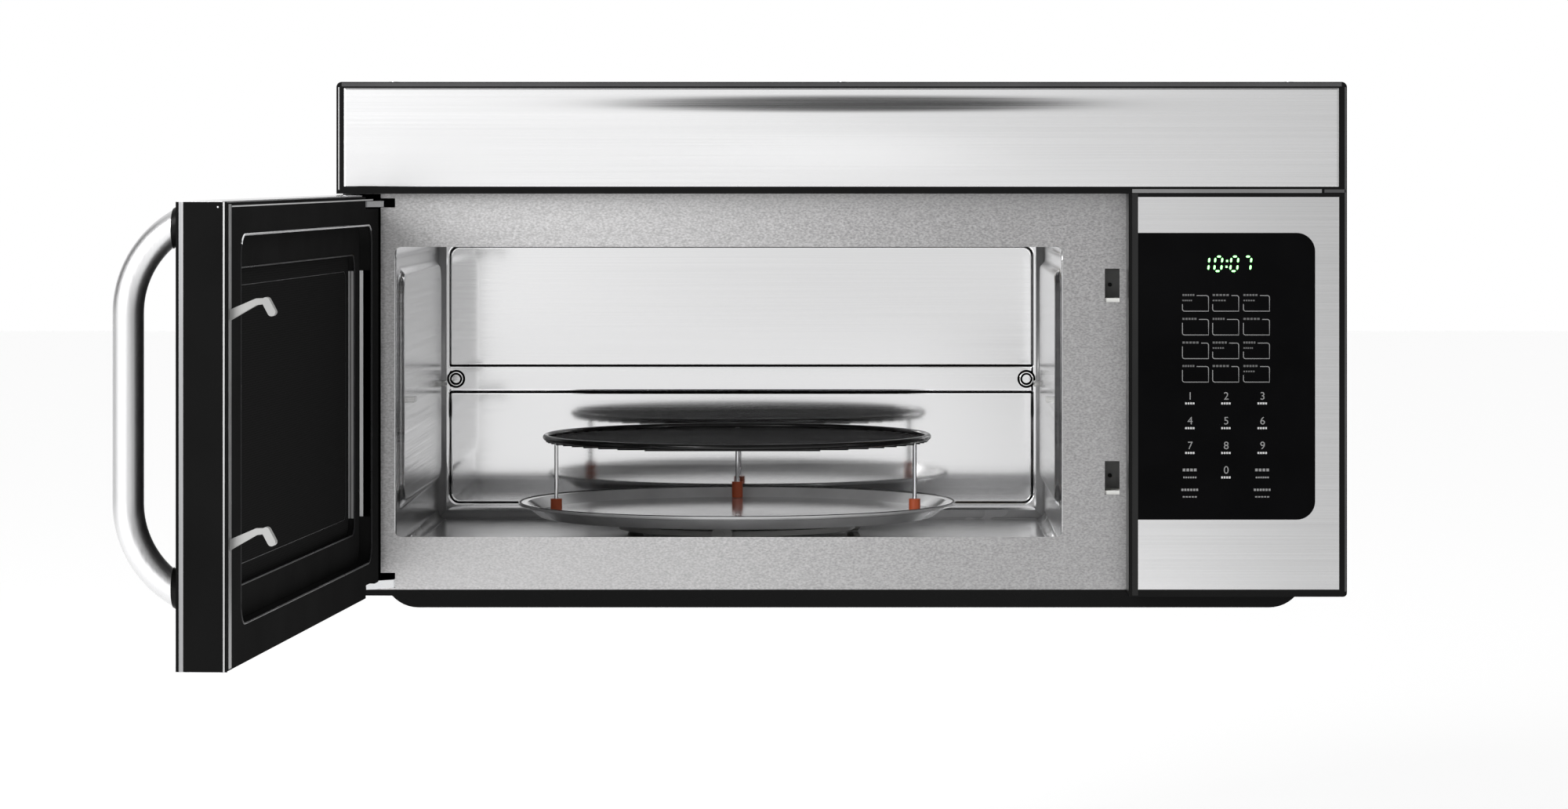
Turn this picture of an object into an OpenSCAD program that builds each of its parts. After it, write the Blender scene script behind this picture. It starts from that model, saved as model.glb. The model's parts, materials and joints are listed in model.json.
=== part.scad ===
// Over-the-range microwave and convection oven, hung on a wall, with its door standing open.
// Heights in the modules are measured from the underside of the base pan.
// The frame's origin is on the wall face, wall_h above that underside. The front faces -Y.

/* [Body] */
// Overall width of the oven
body_w = 759; // [740:1:765]
// Overall height, from the base pan to the top louvres
body_h = 398; // [390:1:410]
// Depth from the wall to the front of the control panel
body_d = 430; // [420:1:450]
// Distance from the control panel's front back to the front plate
plate_back = 34.5; // [34:0.5:36]
// Height of the base pan
pan_h = 13.4; // [12:0.2:13.4]

/* [Cavity] */
// Width of the cavity's mouth
cav_w = 506.5; // [500:0.5:510]
// Centre of the cavity, left of the oven's middle
cav_left = 86; // [84:1:88]
// Height of the cavity's mouth
cav_h = 220; // [215:1:222]
// Height of the mouth's lower edge
cav_bottom = 53.4; // [52:0.2:55]
// Height of the recessed cavity floor
floor_h = 40; // [39:0.5:41]
// Depth of the cavity
cav_d = 372; // [360:1:372]

/* [Door] */
// Angle at which the door stands open
door_open = 93.9; // [0:0.1:104]
// Width of the door
door_w = 592.5; // [590:0.5:593]
// Height of the door
door_h = 299; // [295:0.5:299]
// Radius of the hinge pins
pin_r = 3; // [2.5:0.1:3.5]
// Reach of the handle in front of the door
handle_reach = 46.6; // [38:0.2:50]
// Distance between the middles of the handle's two ends
handle_h = 238.6; // [225:0.2:240]
// Radius of the handle's tube
handle_r = 10; // [8:0.5:11]

/* [Turntable] */
// Outer radius of the tray
tray_r = 174; // [165:1:176]
// Radius of the roller ring's wheel track
track_r = 102; // [95:1:110]
// Radius of the rack's rim, to the middle of its wire
rack_r = 152.3; // [148:0.2:153]
// Height of the rack's rim
rack_h = 119; // [105:0.5:125]

/* [Hidden] */
$fn = 48;

wall_h = 200;            // the origin's height above the underside
sheet = 1.2;             // thickness of the case's steel
liner = 1;               // thickness of the cavity's stainless liner
run = 0.05;              // radial clearance of a running fit
gap = 0.3;               // clearance between pieces that pass each other
front_y = -body_d;
plate_y = front_y + plate_back;
plate_t = 1.5;
liner_y = plate_y + plate_t;
case_x = body_w / 2 - 1.2;
case_top = body_h - 1;
cav_x0 = -cav_left - cav_w / 2;
cav_x1 = -cav_left + cav_w / 2;
cav_top = cav_bottom + cav_h;
back_y = liner_y + cav_d;
control_x = 215.5;       // left side of the control housing
vent_z = 314;            // underside of the vent trim
slot_x = 204.9;          // middle of the latch slots
latch_low = 98;          // height of the lower hook
latch_high = 244;        // height of the upper hook
glass_z0 = 69.1;         // lower edge of the black glass band
glass_z1 = 284.6;        // upper edge of the black glass band
glass_r = 14;

door_x0 = control_x - 1.5 - door_w;
door_x1 = control_x - 1.5;
door_z0 = 14;
door_z1 = door_z0 + door_h;
hinge_x = door_x0 + 14;
hinge_y = front_y + 15.5;
arm_top = door_z1 - 9.2; // underside of the upper hinge arm
arm_top_t = 4.5;
arm_low = 15.3;          // underside of the lower hinge arm
arm_low_t = 6.2;
arm_in = 15;             // where the arms pass through the front plate, from the hinge's axis
skin = 1;
inner_y = front_y + 33;  // inner face of the door
choke_y0 = front_y + 20; // outer and inner faces of the choke cover
choke_y1 = front_y + 24;
handle_x = door_x1 - 27;
handle_z = 180.5;

table_x = 1.5 - cav_left;
table_y = front_y + 224;
tray_z = 56.5;
wheel_r = 7.95;
wheel_z = (floor_h + tray_z) / 2;
axle_r = 1.5;
rim_r = 2.4;             // radius of the rack rim's wire
wire_r = 1.4;
leg_r = 1.6;
leg_at = rack_r - 2.3;
leg_angles = [91.5, 200, 340];

blower_y = -75;
blower_z = 340;
blower_w = 66;           // width of one blower housing
blower_x = [-155, 35];   // left sides of the two housings
conv_x = -215;
conv_y = -270;
cool_x = 275;
cool_z = 150;

steel_c = [0.66, 0.65, 0.66];
bright_c = [0.88, 0.88, 0.9];
zinc_c = [0.75, 0.76, 0.77];
black_c = [0.06, 0.06, 0.06];
copper_c = [0.72, 0.4, 0.2];

module from_base() { translate([0, 0, -wall_h]) children(); }

module block(x0, x1, y0, y1, z0, z1) {
    translate([x0, y0, z0]) cube([x1 - x0, y1 - y0, z1 - z0]);
}

// A rectangle from corner to corner with all four corners rounded.
module round_rect(x0, x1, z0, z1, r) {
    translate([x0 + r, z0]) square([x1 - x0 - 2 * r, z1 - z0]);
    translate([x0, z0 + r]) square([x1 - x0, z1 - z0 - 2 * r]);
    for (x = [x0 + r, x1 - r], z = [z0 + r, z1 - r]) translate([x, z]) circle(r);
}

// Extrudes an outline drawn in X and Z from y0 to y1.
module upright(y0, y1) {
    translate([0, y1, 0]) rotate([90, 0, 0]) linear_extrude(y1 - y0) children();
}

// Extrudes an outline drawn in Y and Z from x0 to x1.
module sideways(x0, x1) {
    translate([x0, 0, 0]) rotate([90, 0, 90]) linear_extrude(x1 - x0) children();
}

module rounded_plate(x0, x1, y0, y1, z0, z1, r) {
    upright(y0, y1) round_rect(x0, x1, z0, z1, r);
}

module rod_x(x0, x1, r) { translate([x0, 0, 0]) rotate([0, 90, 0]) cylinder(r = r, h = x1 - x0); }
module rod_y(y0, y1, r) { translate([0, y1, 0]) rotate([90, 0, 0]) cylinder(r = r, h = y1 - y0); }

// Turns a piece drawn with the door shut to the angle at which the door stands.
module on_door() {
    translate([hinge_x, hinge_y, 0]) rotate([0, 0, -door_open])
        translate([-hinge_x, -hinge_y, 0]) children();
}

module at_table() { translate([table_x, table_y, 0]) children(); }

// ---- Case ----

cord_x = 300;
cord_y = -60;
cord_r = 11;
bolt_x = 295;
bolt_y = -330;
bolt_r = 3.4;

module outer_case() {
    color("dimgray") from_base() difference() {
        block(-case_x, case_x, plate_y, -sheet, pan_h + 0.2, case_top);
        block(-case_x + sheet, case_x - sheet, plate_y - 1, 1, 0, case_top - sheet);
        for (x = [-bolt_x, bolt_x]) translate([x, bolt_y, case_top - 5]) cylinder(r = bolt_r, h = 10);
        translate([cord_x, cord_y, case_top - 5]) cylinder(r = cord_r, h = 10);
        block(-exhaust_w / 2, exhaust_w / 2, -20 - exhaust_h, -20, case_top - 5, case_top + 5);
    }
}

exhaust_w = 254;
exhaust_h = 83;
exhaust_z = 345;

module rear_panel() {
    hook_w = 34;
    hook_h = 9;
    color("silver") from_base() difference() {
        block(-case_x, case_x, -sheet, 0, pan_h + 0.2, case_top);
        block(-exhaust_w / 2, exhaust_w / 2, -5, 5, exhaust_z - exhaust_h / 2, exhaust_z + exhaust_h / 2);
        for (x = [-300, -120, 120, 300]) block(x - hook_w / 2, x + hook_w / 2, -5, 5, 60, 60 + hook_h);
        for (i = [0 : 9]) block(210 + i * 14, 216 + i * 14, -5, 5, 120, 180);
    }
}

filter_w = 238;
filter_d = 128;
filter_x = 165;
filter_y = -215;
lens_w = 62;
lens_d = 38;
lens_x = 215;
lens_y = -355;

module chassis_floor() {
    color("silver") from_base() difference() {
        block(-case_x + sheet, case_x - sheet, liner_y, -sheet, pan_h + 0.2, pan_h + 0.2 + sheet);
        for (s = [-1, 1]) {
            block(s * filter_x - filter_w / 2 + 12, s * filter_x + filter_w / 2 - 12,
                filter_y - filter_d / 2 + 12, filter_y + filter_d / 2 - 12, 0, 20);
            block(s * lens_x - 25, s * lens_x + 25, lens_y - 14, lens_y + 14, 0, 20);
        }
    }
}

pan_x0 = -341;
pan_x1 = 344;
pan_end = 20;
pan_rim = 372;           // half the width of the pan's flat rim
rim_z = 9;               // underside of the rim

// Outline of the pan seen from the front, drawn in by t all round. Its ends curve up like a hull.
module pan_outline(t) {
    rise = 48;
    r = pan_end / sin(rise);
    arc = [for (a = [0 : 8 : rise]) [(r - t) * sin(a), r - (r - t) * cos(a)]];
    polygon(concat([[pan_rim - t, pan_h + t], [pan_rim - t, rim_z + t]],
        [for (i = [6 : -1 : 0]) [pan_x1 - pan_end + arc[i][0], arc[i][1]]],
        [for (p = arc) [pan_x0 + pan_end - p[0], p[1]]],
        [[t - pan_rim, rim_z + t], [t - pan_rim, pan_h + t]]));
}

module base_pan() {
    wall = 1.5;
    flange = 16;
    pan_y0 = plate_y + gap;
    color(black_c) from_base() {
        difference() {
            intersection() {
                upright(pan_y0, -4) pan_outline(0);
                block(-400, 400, -500, 0, -1, pan_h);
            }
            upright(pan_y0 + wall, -4 - wall) pan_outline(wall);
            for (s = [-1, 1]) {
                block(s * filter_x - filter_w / 2 - 1, s * filter_x + filter_w / 2 + 1,
                    filter_y - filter_d / 2 - 1, filter_y + filter_d / 2 + 1, -5, 5);
                block(s * lens_x - lens_w / 2, s * lens_x + lens_w / 2,
                    lens_y - lens_d / 2, lens_y + lens_d / 2, -5, 5);
            }
        }
        block(pan_x0 + pan_end, pan_x1 - pan_end, pan_y0 + wall / 2, pan_y0 + flange, pan_h - 1.2, pan_h);
    }
}

module case_screws() {
    head_r = 4;
    head_h = 1.8;
    color(zinc_c) from_base() {
        for (x = [-340, 0, 340]) translate([x, plate_y + 8, case_top]) cylinder(r = head_r, h = head_h);
        for (s = [-1, 1], y = [-370, -200, -30]) translate([0, y, 24])
            rod_x(s > 0 ? case_x : -case_x - head_h, s > 0 ? case_x + head_h : -case_x, head_r);
    }
}

// ---- Front plate and cavity ----

module front_plate() {
    slot_w = 11.2;
    slot_h = 25.4;
    color(steel_c) from_base() difference() {
        block(-case_x + sheet, control_x, plate_y, liner_y, pan_h + 0.2, vent_z);
        rounded_plate(cav_x0, cav_x1, plate_y - 1, liner_y + 1, cav_bottom, cav_top, 5);
        for (z = [latch_low, latch_high])
            block(slot_x - slot_w / 2, slot_x + slot_w / 2, plate_y - 1, liner_y + 1,
                z - slot_h / 2 + 0.3, z + slot_h / 2 + 0.3);
        for (z = [[arm_top - 0.5, arm_top + 6.5], [arm_low - 0.5, arm_low + 11]])
            block(hinge_x + arm_in - 0.5, hinge_x + arm_in + 10.7, plate_y - 1, liner_y + 1, z[0], z[1]);
    }
}

module cavity_floor() {
    hub_r = 12;
    color(bright_c) from_base() difference() {
        union() {
            block(cav_x0, cav_x1, liner_y, back_y, floor_h - liner, floor_h);
            block(cav_x0, cav_x1, liner_y, liner_y + liner, floor_h, cav_bottom);
        }
        at_table() cylinder(r = hub_r, h = 100);
    }
}

module cavity_ceiling() {
    hole_r = 3;
    color(bright_c) from_base() difference() {
        block(cav_x0, cav_x1, liner_y, back_y, cav_top, cav_top + liner);
        for (ring = [1 : 4], i = [0 : 6 * ring - 1])
            translate([conv_x, conv_y, 0]) rotate([0, 0, i * 60 / ring])
                translate([13 * ring, 0, cav_top - 1]) cylinder(r = hole_r, h = 5);
        block(70, 150, -245, -175, cav_top - 1, cav_top + 5);
    }
}

band_z0 = 145.7;
band_z1 = 167.4;

// The pressed line round the wall's middle: a rounded rib, with a flat band across it.
module cavity_back_wall() {
    rib = 3;
    proud = 2;
    edge = 8;
    corner = 9;
    color(bright_c) from_base() {
        difference() {
            union() {
                block(cav_x0 - liner, cav_x1 + liner, back_y, back_y + liner, floor_h - liner, cav_top + liner);
                rounded_plate(cav_x0 + edge, cav_x1 - edge, back_y - proud, back_y + 0.5,
                    floor_h + edge + 4, cav_top - edge / 2, corner);
            }
            rounded_plate(cav_x0 + edge + rib, cav_x1 - edge - rib, back_y - proud - 1, back_y,
                floor_h + edge + 4 + rib, cav_top - edge / 2 - rib, corner - rib);
        }
        block(cav_x0 + edge + rib, cav_x1 - edge - rib, back_y - proud, back_y, band_z0, band_z1);
        for (x = [cav_x0 + 15, cav_x1 - 15]) translate([x, 0, (band_z0 + band_z1) / 2])
            difference() {
                rod_y(back_y - proud - 2, back_y - proud, 7);
                rod_y(back_y - proud - 3, back_y - proud + 0.5, 5);
            }
    }
}

// A side liner with a flat pad pressed into the cavity, s = -1 for the left wall.
module side_wall(x, s) {
    pad = 1.5;
    color(bright_c) from_base() {
        block(x - (s < 0 ? liner : 0), x + (s < 0 ? 0 : liner), liner_y, back_y, floor_h - liner, cav_top + liner);
        translate([s < 0 ? x : x - pad, 0, 0]) rotate([90, 0, 90]) linear_extrude(pad)
            round_rect(liner_y + 24, back_y - 24, floor_h + 26, cav_top - 22, 12);
    }
}

module cavity_side_left() { side_wall(cav_x0, -1); }
module cavity_side_right() { side_wall(cav_x1, 1); }

module rack_supports() {
    reach = 9;
    color([0.93, 0.93, 0.9]) from_base()
        for (y = [liner_y + 55, back_y - 50]) {
            block(cav_x0 + 1.5, cav_x0 + 1.5 + reach, y - 12, y + 12, 153, 157);
            block(cav_x0 + 1.5, cav_x0 + 4, y - 12, y + 12, 157, 168);
            block(cav_x1 - 1.5 - reach, cav_x1 - 1.5, y - 12, y + 12, 153, 157);
            block(cav_x1 - 4, cav_x1 - 1.5, y - 12, y + 12, 157, 168);
        }
}

// ---- Power parts ----

guide_x1 = 188;
guide_z1 = 318;
tube_y = -210;
tube_z = 297;

module waveguide() {
    wall = 1.2;
    color("silver") from_base() difference() {
        block(60, guide_x1, -255, -165, cav_top + liner, guide_z1);
        block(60 + wall, guide_x1 - wall, -255 + wall, -165 - wall, cav_top - 1, guide_z1 - wall);
        translate([0, tube_y, tube_z]) rod_x(guide_x1 - 5, guide_x1 + 5, 12);
    }
}

module waveguide_cover() {
    color([0.8, 0.72, 0.55]) from_base()
        block(66, 154, -249, -171, cav_top - 0.6, cav_top);
}

module magnetron() {
    color("indianred") from_base() translate([guide_x1, tube_y, tube_z]) {
        rod_x(-22, 0, 8);
        difference() {
            union() {
                block(0, 92, -42, 42, -20, 60);
                block(92, 112, -28, 28, -4, 44);
            }
            block(8, 84, -50, 50, -14, 54);
        }
        translate([0, 0, 20]) rod_x(8, 84, 22);
        for (i = [0 : 7]) difference() {
            block(12 + i * 9.4, 13.2 + i * 9.4, -38, 38, -14, 54);
            translate([0, 0, 20]) rod_x(0, 90, 22);
        }
    }
}

bay_z = pan_h + 0.2 + sheet;

module hv_transformer() {
    color("dimgray") from_base() {
        difference() {
            block(225, 335, -330, -260, bay_z, bay_z + 90);
            for (z = [bay_z + 14, bay_z + 52]) block(248, 312, -340, -250, z, z + 24);
        }
        color(copper_c) difference() {
            block(249, 311, -350, -240, bay_z + 15, bay_z + 75);
            block(240, 320, -330, -260, bay_z + 38, bay_z + 52);
            block(240, 320, -331, -259, bay_z, bay_z + 14);
            block(262, 298, -355, -235, bay_z + 30, bay_z + 60);
        }
    }
}

module hv_capacitor() {
    color("silver") from_base() translate([344, -170, bay_z]) {
        cylinder(r = 26, h = 88);
        for (y = [-9, 9]) translate([0, y, 88]) cylinder(r = 3, h = 12);
    }
}

module fan_blades(r, hub, h, count) {
    for (i = [0 : count - 1]) rotate([0, 0, i * 360 / count])
        translate([hub - 1.5, 0, h / 2]) rotate([32, 0, 0])
            translate([0, -9, -0.8]) cube([r - hub, 18, 1.6]);
}

fan_r = 52;

module cooling_fan_shroud() {
    color(black_c) from_base() translate([cool_x, 0, cool_z]) difference() {
        block(-66, 66, -86, -44, -66, 66);
        rod_y(-90, -50, fan_r + 4);
        for (s = [-1, 1]) {
            block(-12, 12, -60, -40, s > 0 ? 8 : -50, s > 0 ? 50 : -8);
            block(s > 0 ? 16 : -50, s > 0 ? 50 : -16, -60, -40, -30, 30);
        }
        rod_y(-60, -40, pin_r + 1);
    }
}

module cooling_fan() {
    color("whitesmoke") from_base() translate([cool_x, -58, cool_z]) rotate([90, 0, 0]) {
        cylinder(r = 12, h = 20);
        fan_blades(fan_r, 12, 20, 6);
        translate([0, 0, -34]) cylinder(r = pin_r, h = 36);
    }
}

module shaded_motor() {
    difference() {
        union() {
            cylinder(r = 22, h = 26);
            translate([-26, -26, 5]) cube([52, 52, 14]);
        }
        translate([0, 0, -1]) cylinder(r = pin_r + run, h = 30);
    }
}

can_r = 84;
can_z1 = 322;

module fan_motors() {
    color("darkgray") from_base() {
        translate([cool_x, -44, cool_z]) rotate([-90, 0, 0]) shaded_motor();
        translate([conv_x, conv_y, can_z1]) shaded_motor();
    }
}

module convection_housing() {
    wall = 1.2;
    color("silver") from_base() translate([conv_x, conv_y, 0]) difference() {
        translate([0, 0, cav_top + liner]) cylinder(r = can_r, h = can_z1 - cav_top - liner);
        translate([0, 0, cav_top]) cylinder(r = can_r - wall, h = can_z1 - cav_top - wall);
        cylinder(r = pin_r + 1, h = body_h);
    }
}

module heater_element() {
    color("dimgray") from_base() translate([conv_x, conv_y, 300])
        rotate_extrude() translate([74, 0]) circle(3.3);
}

module convection_fan() {
    color("silver") from_base() translate([conv_x, conv_y, 288]) {
        cylinder(r = 10, h = 16);
        fan_blades(62, 10, 20, 8);
        cylinder(r = pin_r, h = 58);
    }
}

// ---- Vent blower, filters and lamps ----

scroll_r = 52;
wheel_hole = 30;

module blower_housings() {
    wall = 1.5;
    color("silver") from_base() for (x = blower_x) difference() {
        union() {
            translate([0, blower_y, blower_z]) rod_x(x, x + blower_w, scroll_r);
            block(x, x + blower_w, blower_y - 75, blower_y, blower_z, blower_z + scroll_r);
        }
        translate([0, blower_y, blower_z]) {
            rod_x(x + wall, x + blower_w - wall, scroll_r - wall);
            rod_x(x - 1, x + blower_w + 1, wheel_hole);
        }
        block(x + wall, x + blower_w - wall, blower_y - 80, blower_y, blower_z + wall, blower_z + scroll_r - wall);
    }
}

blower_mid = (blower_x[0] + blower_x[1] + blower_w) / 2;

module blower_motor() {
    color("darkgray") from_base() translate([0, blower_y, blower_z]) difference() {
        union() {
            rod_x(blower_mid - 36, blower_mid + 36, 34);
            block(blower_mid - 30, blower_mid + 30, -26, 26, cav_top + liner - blower_z, -20);
        }
        rod_x(blower_mid - 40, blower_mid + 40, pin_r + run);
    }
}

// Two squirrel-cage wheels on one shaft.
module blower_wheels() {
    cage_r = 44;
    blades = 20;
    color("whitesmoke") from_base() translate([0, blower_y, blower_z]) {
        rod_x(blower_x[0] + 8, blower_x[1] + blower_w - 8, pin_r);
        for (x = blower_x) {
            difference() {
                rod_x(x + 6, x + 10, cage_r);
                rod_x(x + 5, x + 11, cage_r - 9);
            }
            translate([blower_w / 2, 0, 0]) rod_x(x - 1, x + 1, cage_r);
            difference() {
                rod_x(x + blower_w - 10, x + blower_w - 6, cage_r);
                rod_x(x + blower_w - 11, x + blower_w - 5, cage_r - 9);
            }
            for (i = [0 : blades - 1]) rotate([i * 360 / blades, 0, 0])
                block(x + 7, x + blower_w - 7, cage_r - 8, cage_r - 2, -0.6, 0.6);
        }
    }
}

module charcoal_filter() {
    color([0.15, 0.15, 0.15]) from_base() difference() {
        block(-160, 160, plate_y + 3, plate_y + 15, vent_z + 5, case_top - sheet - 2);
        for (x = [-148 : 50 : 110]) block(x, x + 42, plate_y, plate_y + 8, vent_z + 12, case_top - sheet - 10);
    }
}

module grease_filter(x) {
    rim = 8;
    color("lightgray") from_base() difference() {
        block(x - filter_w / 2, x + filter_w / 2, filter_y - filter_d / 2, filter_y + filter_d / 2, 1, 10);
        for (z = [-1, 7]) block(x - filter_w / 2 + rim, x + filter_w / 2 - rim,
            filter_y - filter_d / 2 + rim, filter_y + filter_d / 2 - rim, z, z + 5);
    }
}

module grease_filter_left() { grease_filter(-filter_x); }
module grease_filter_right() { grease_filter(filter_x); }

module lamp_lenses() {
    color([0.9, 0.92, 0.92, 0.6]) from_base() for (s = [-1, 1])
        block(s * lens_x - lens_w / 2 + gap, s * lens_x + lens_w / 2 - gap,
            lens_y - lens_d / 2 + gap, lens_y + lens_d / 2 - gap, 0, 2.5);
}

panel_x0 = -374;
panel_x1 = 373.5;
panel_z0 = 319.4;
panel_z1 = 393.5;

module vent_trim() {
    wall = 2.5;
    half = body_w / 2;
    slots = 22;
    pitch = (body_w - 40) / slots;
    color(black_c) from_base() difference() {
        upright(front_y, plate_y) {
            round_rect(-half, half, vent_z, body_h, 4);
            translate([-half, vent_z]) square([body_w, 40]);
        }
        block(-half + wall, half - wall, front_y + 4, plate_y + 1, vent_z + wall, body_h - wall);
        block(panel_x0, panel_x1, front_y - 1, front_y + skin, panel_z0, panel_z1);
        for (i = [0 : slots - 1])
            block(-half + 22 + i * pitch, -half + 22 + (i + 1) * pitch - 5, front_y + 6, plate_y - 5,
                body_h - 5, body_h + 5);
    }
}

module vent_panel() {
    color(bright_c) from_base()
        block(panel_x0, panel_x1, front_y, front_y + skin, panel_z0, panel_z1);
}

// ---- Control panel ----

housing_z = 11.2;        // underside of the control housing
fascia_x0 = 222.5;
fascia_x1 = 373.6;
fascia_z0 = 16.7;
fascia_z1 = 311.5;
touch_x1 = 355.6;
display = [254, 324, 249, 273];

// The glass's outline, square at its left and rounded at its right corners.
module touch_outline() {
    translate([fascia_x0, glass_z0]) square([touch_x1 - fascia_x0 - glass_r, glass_z1 - glass_z0]);
    translate([fascia_x0, glass_z0 + glass_r])
        square([touch_x1 - fascia_x0, glass_z1 - glass_z0 - 2 * glass_r]);
    for (z = [glass_z0 + glass_r, glass_z1 - glass_r]) translate([touch_x1 - glass_r, z]) circle(glass_r);
}

module control_housing() {
    wall = 3;
    color(black_c) from_base() difference() {
        upright(front_y, plate_y) {
            round_rect(control_x, body_w / 2, housing_z, vent_z, 3);
            translate([control_x, housing_z]) square([40, vent_z - housing_z]);
            translate([control_x, 40]) square([body_w / 2 - control_x, vent_z - 40]);
        }
        block(control_x + wall, body_w / 2 - wall, front_y + 4, plate_y + 1, housing_z + wall, vent_z - wall);
        block(fascia_x0, fascia_x1, front_y - 1, front_y + skin, fascia_z0, fascia_z1);
        block(display[0] - gap, display[1] + gap, front_y, front_y + 10, display[2] - gap, display[3] + gap);
    }
}

module control_fascia() {
    color(bright_c) from_base() difference() {
        block(fascia_x0, fascia_x1, front_y, front_y + skin, fascia_z0, fascia_z1);
        upright(front_y - 1, front_y + 2) touch_outline();
    }
}

module touch_glass() {
    color([0.04, 0.04, 0.045]) from_base() upright(front_y, front_y + skin) touch_outline();
}

module display_module() {
    color([0.03, 0.2, 0.1]) from_base()
        block(display[0], display[1], front_y + skin, front_y + 9, display[2], display[3]);
}

module control_board() {
    color("darkgreen") from_base() {
        block(232, 364, front_y + 14, front_y + 15.6, 60, 300);
        block(250, 285, front_y + 15.6, front_y + 30, 90, 125);
        for (z = [150, 180, 210]) block(320, 338, front_y + 15.6, front_y + 28, z, z + 15);
        block(250, 330, front_y + 9, front_y + 14, 251, 271);
    }
}

switch_y = -361;

module interlock_bracket() {
    color("whitesmoke") from_base() {
        block(slot_x + 8, slot_x + 10.5, liner_y, -336, 70, 268);
        for (z = [latch_low, latch_high]) block(slot_x - 7, slot_x + 9, liner_y, switch_y, z - 15, z - 9.5);
    }
}

module interlock_switches() {
    color("gray") from_base() for (z = [latch_low, latch_high]) difference() {
        block(slot_x - 7, slot_x + 8, switch_y, switch_y + 20, z - 15, z + 13);
        translate([slot_x, 0, z]) rod_y(switch_y - 1, switch_y + 9, axle_r + run);
    }
}

module switch_plungers() {
    color("dimgray") from_base() for (z = [latch_low, latch_high])
        translate([slot_x, 0, z]) rod_y(switch_y - 3.3, switch_y + 6, axle_r);
}

// ---- Turntable and rack ----

module turntable_motor() {
    color("silver") from_base() at_table() {
        translate([0, 0, floor_h - liner - 18]) difference() {
            cylinder(r = 25, h = 18);
            translate([0, 0, 3]) cylinder(r = 3.5 + run, h = 20);
        }
        for (s = [-1, 1]) block(s > 0 ? 25 : -38, s > 0 ? 38 : -25, -6, 6, floor_h - liner - 2, floor_h - liner);
    }
}

module drive_coupler() {
    lobe_r = 20;
    color("whitesmoke") from_base() at_table() {
        translate([0, 0, floor_h - liner - 14]) cylinder(r = 3.5, h = 20);
        translate([0, 0, floor_h + 1]) cylinder(r = 9, h = tray_z - floor_h - 2);
        for (a = [0, 120, 240]) rotate([0, 0, a]) block(0, lobe_r, -4, 4, tray_z - 7, tray_z - 1);
    }
}

// The tray is a shallow dish with a rolled rim and three drive blocks under its middle.
module turntable_tray() {
    color([0.2, 0.2, 0.21]) from_base() at_table() {
        rotate_extrude() polygon([[0, tray_z], [157, tray_z], [tray_r - 6, tray_z + 7.5],
            [tray_r - 1, tray_z + 8.5], [tray_r, tray_z + 9.5], [tray_r, tray_z + 11],
            [tray_r - 7, tray_z + 10.5], [158, tray_z + 3], [0, tray_z + 3]]);
        for (a = [60, 180, 300]) rotate([0, 0, a]) block(12, 22, -4, 4, tray_z - 4, tray_z + 1);
    }
}

module roller_ring() {
    ring_r = track_r - 8;
    hub_r = 26;
    color("whitesmoke") from_base() at_table() {
        translate([0, 0, wheel_z - 2]) {
            difference() {
                cylinder(r = ring_r, h = 4);
                translate([0, 0, -1]) cylinder(r = ring_r - 6, h = 6);
            }
            difference() {
                cylinder(r = hub_r + 4, h = 4);
                translate([0, 0, -1]) cylinder(r = hub_r, h = 6);
            }
            for (a = [0, 120, 240]) rotate([0, 0, a]) block(hub_r + 2, ring_r - 2, -3, 3, 0, 4);
        }
        for (a = [0, 120, 240]) rotate([0, 0, a + 25]) translate([0, 0, wheel_z]) {
            rod_x(ring_r - 2, track_r + 4.5, axle_r);
            rod_x(track_r + 3, track_r + 4.5, 2.4);
        }
    }
}

module roller_wheel(a) {
    color("whitesmoke") from_base() at_table() rotate([0, 0, a + 25]) translate([0, 0, wheel_z])
        difference() {
            rod_x(track_r - 2.7, track_r + 2.7, wheel_r);
            rod_x(track_r - 5, track_r + 5, axle_r + run);
        }
}

module roller_wheel_1() { roller_wheel(0); }
module roller_wheel_2() { roller_wheel(120); }
module roller_wheel_3() { roller_wheel(240); }

module rack_rim() {
    translate([0, 0, rack_h]) rotate_extrude() translate([rack_r, 0]) circle(rim_r);
}

// Parallel wires run from side to side, welded under the rim.
module cooking_rack() {
    pitch = 13;
    color(black_c) from_base() at_table() {
        rack_rim();
        for (i = [-11 : 10]) {
            y = (i + 0.5) * pitch;
            half = sqrt(rack_r * rack_r - y * y);
            translate([0, y, rack_h - 2.4]) rod_x(-half, half, wire_r);
        }
    }
}

foot_z = tray_z + 3;

module rack_legs() {
    color(bright_c) from_base() at_table() difference() {
        for (a = leg_angles) rotate([0, 0, a]) translate([leg_at, 0, foot_z + 5])
            cylinder(r = leg_r, h = rack_h - foot_z - 6);
        rack_rim();
    }
}

module rack_feet() {
    color([0.6, 0.2, 0.06]) from_base() at_table() for (a = leg_angles)
        rotate([0, 0, a]) translate([leg_at, 0, foot_z + gap]) difference() {
            cylinder(r = 4.5, h = 13);
            translate([0, 0, 5 - gap]) cylinder(r = leg_r, h = 20);
        }
}

// ---- Hinges and door ----

module hinge_arm(z, t, width) {
    translate([0, 0, z]) linear_extrude(t) {
        polygon([[hinge_x + arm_in, liner_y + 4], [hinge_x + arm_in + width, liner_y + 4],
            [hinge_x + arm_in + width, plate_y - 4], [hinge_x + 3, hinge_y - 5],
            [hinge_x - 4, hinge_y + 4], [hinge_x + arm_in, plate_y - 2]]);
        translate([hinge_x, hinge_y]) circle(6.5);
    }
}

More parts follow.
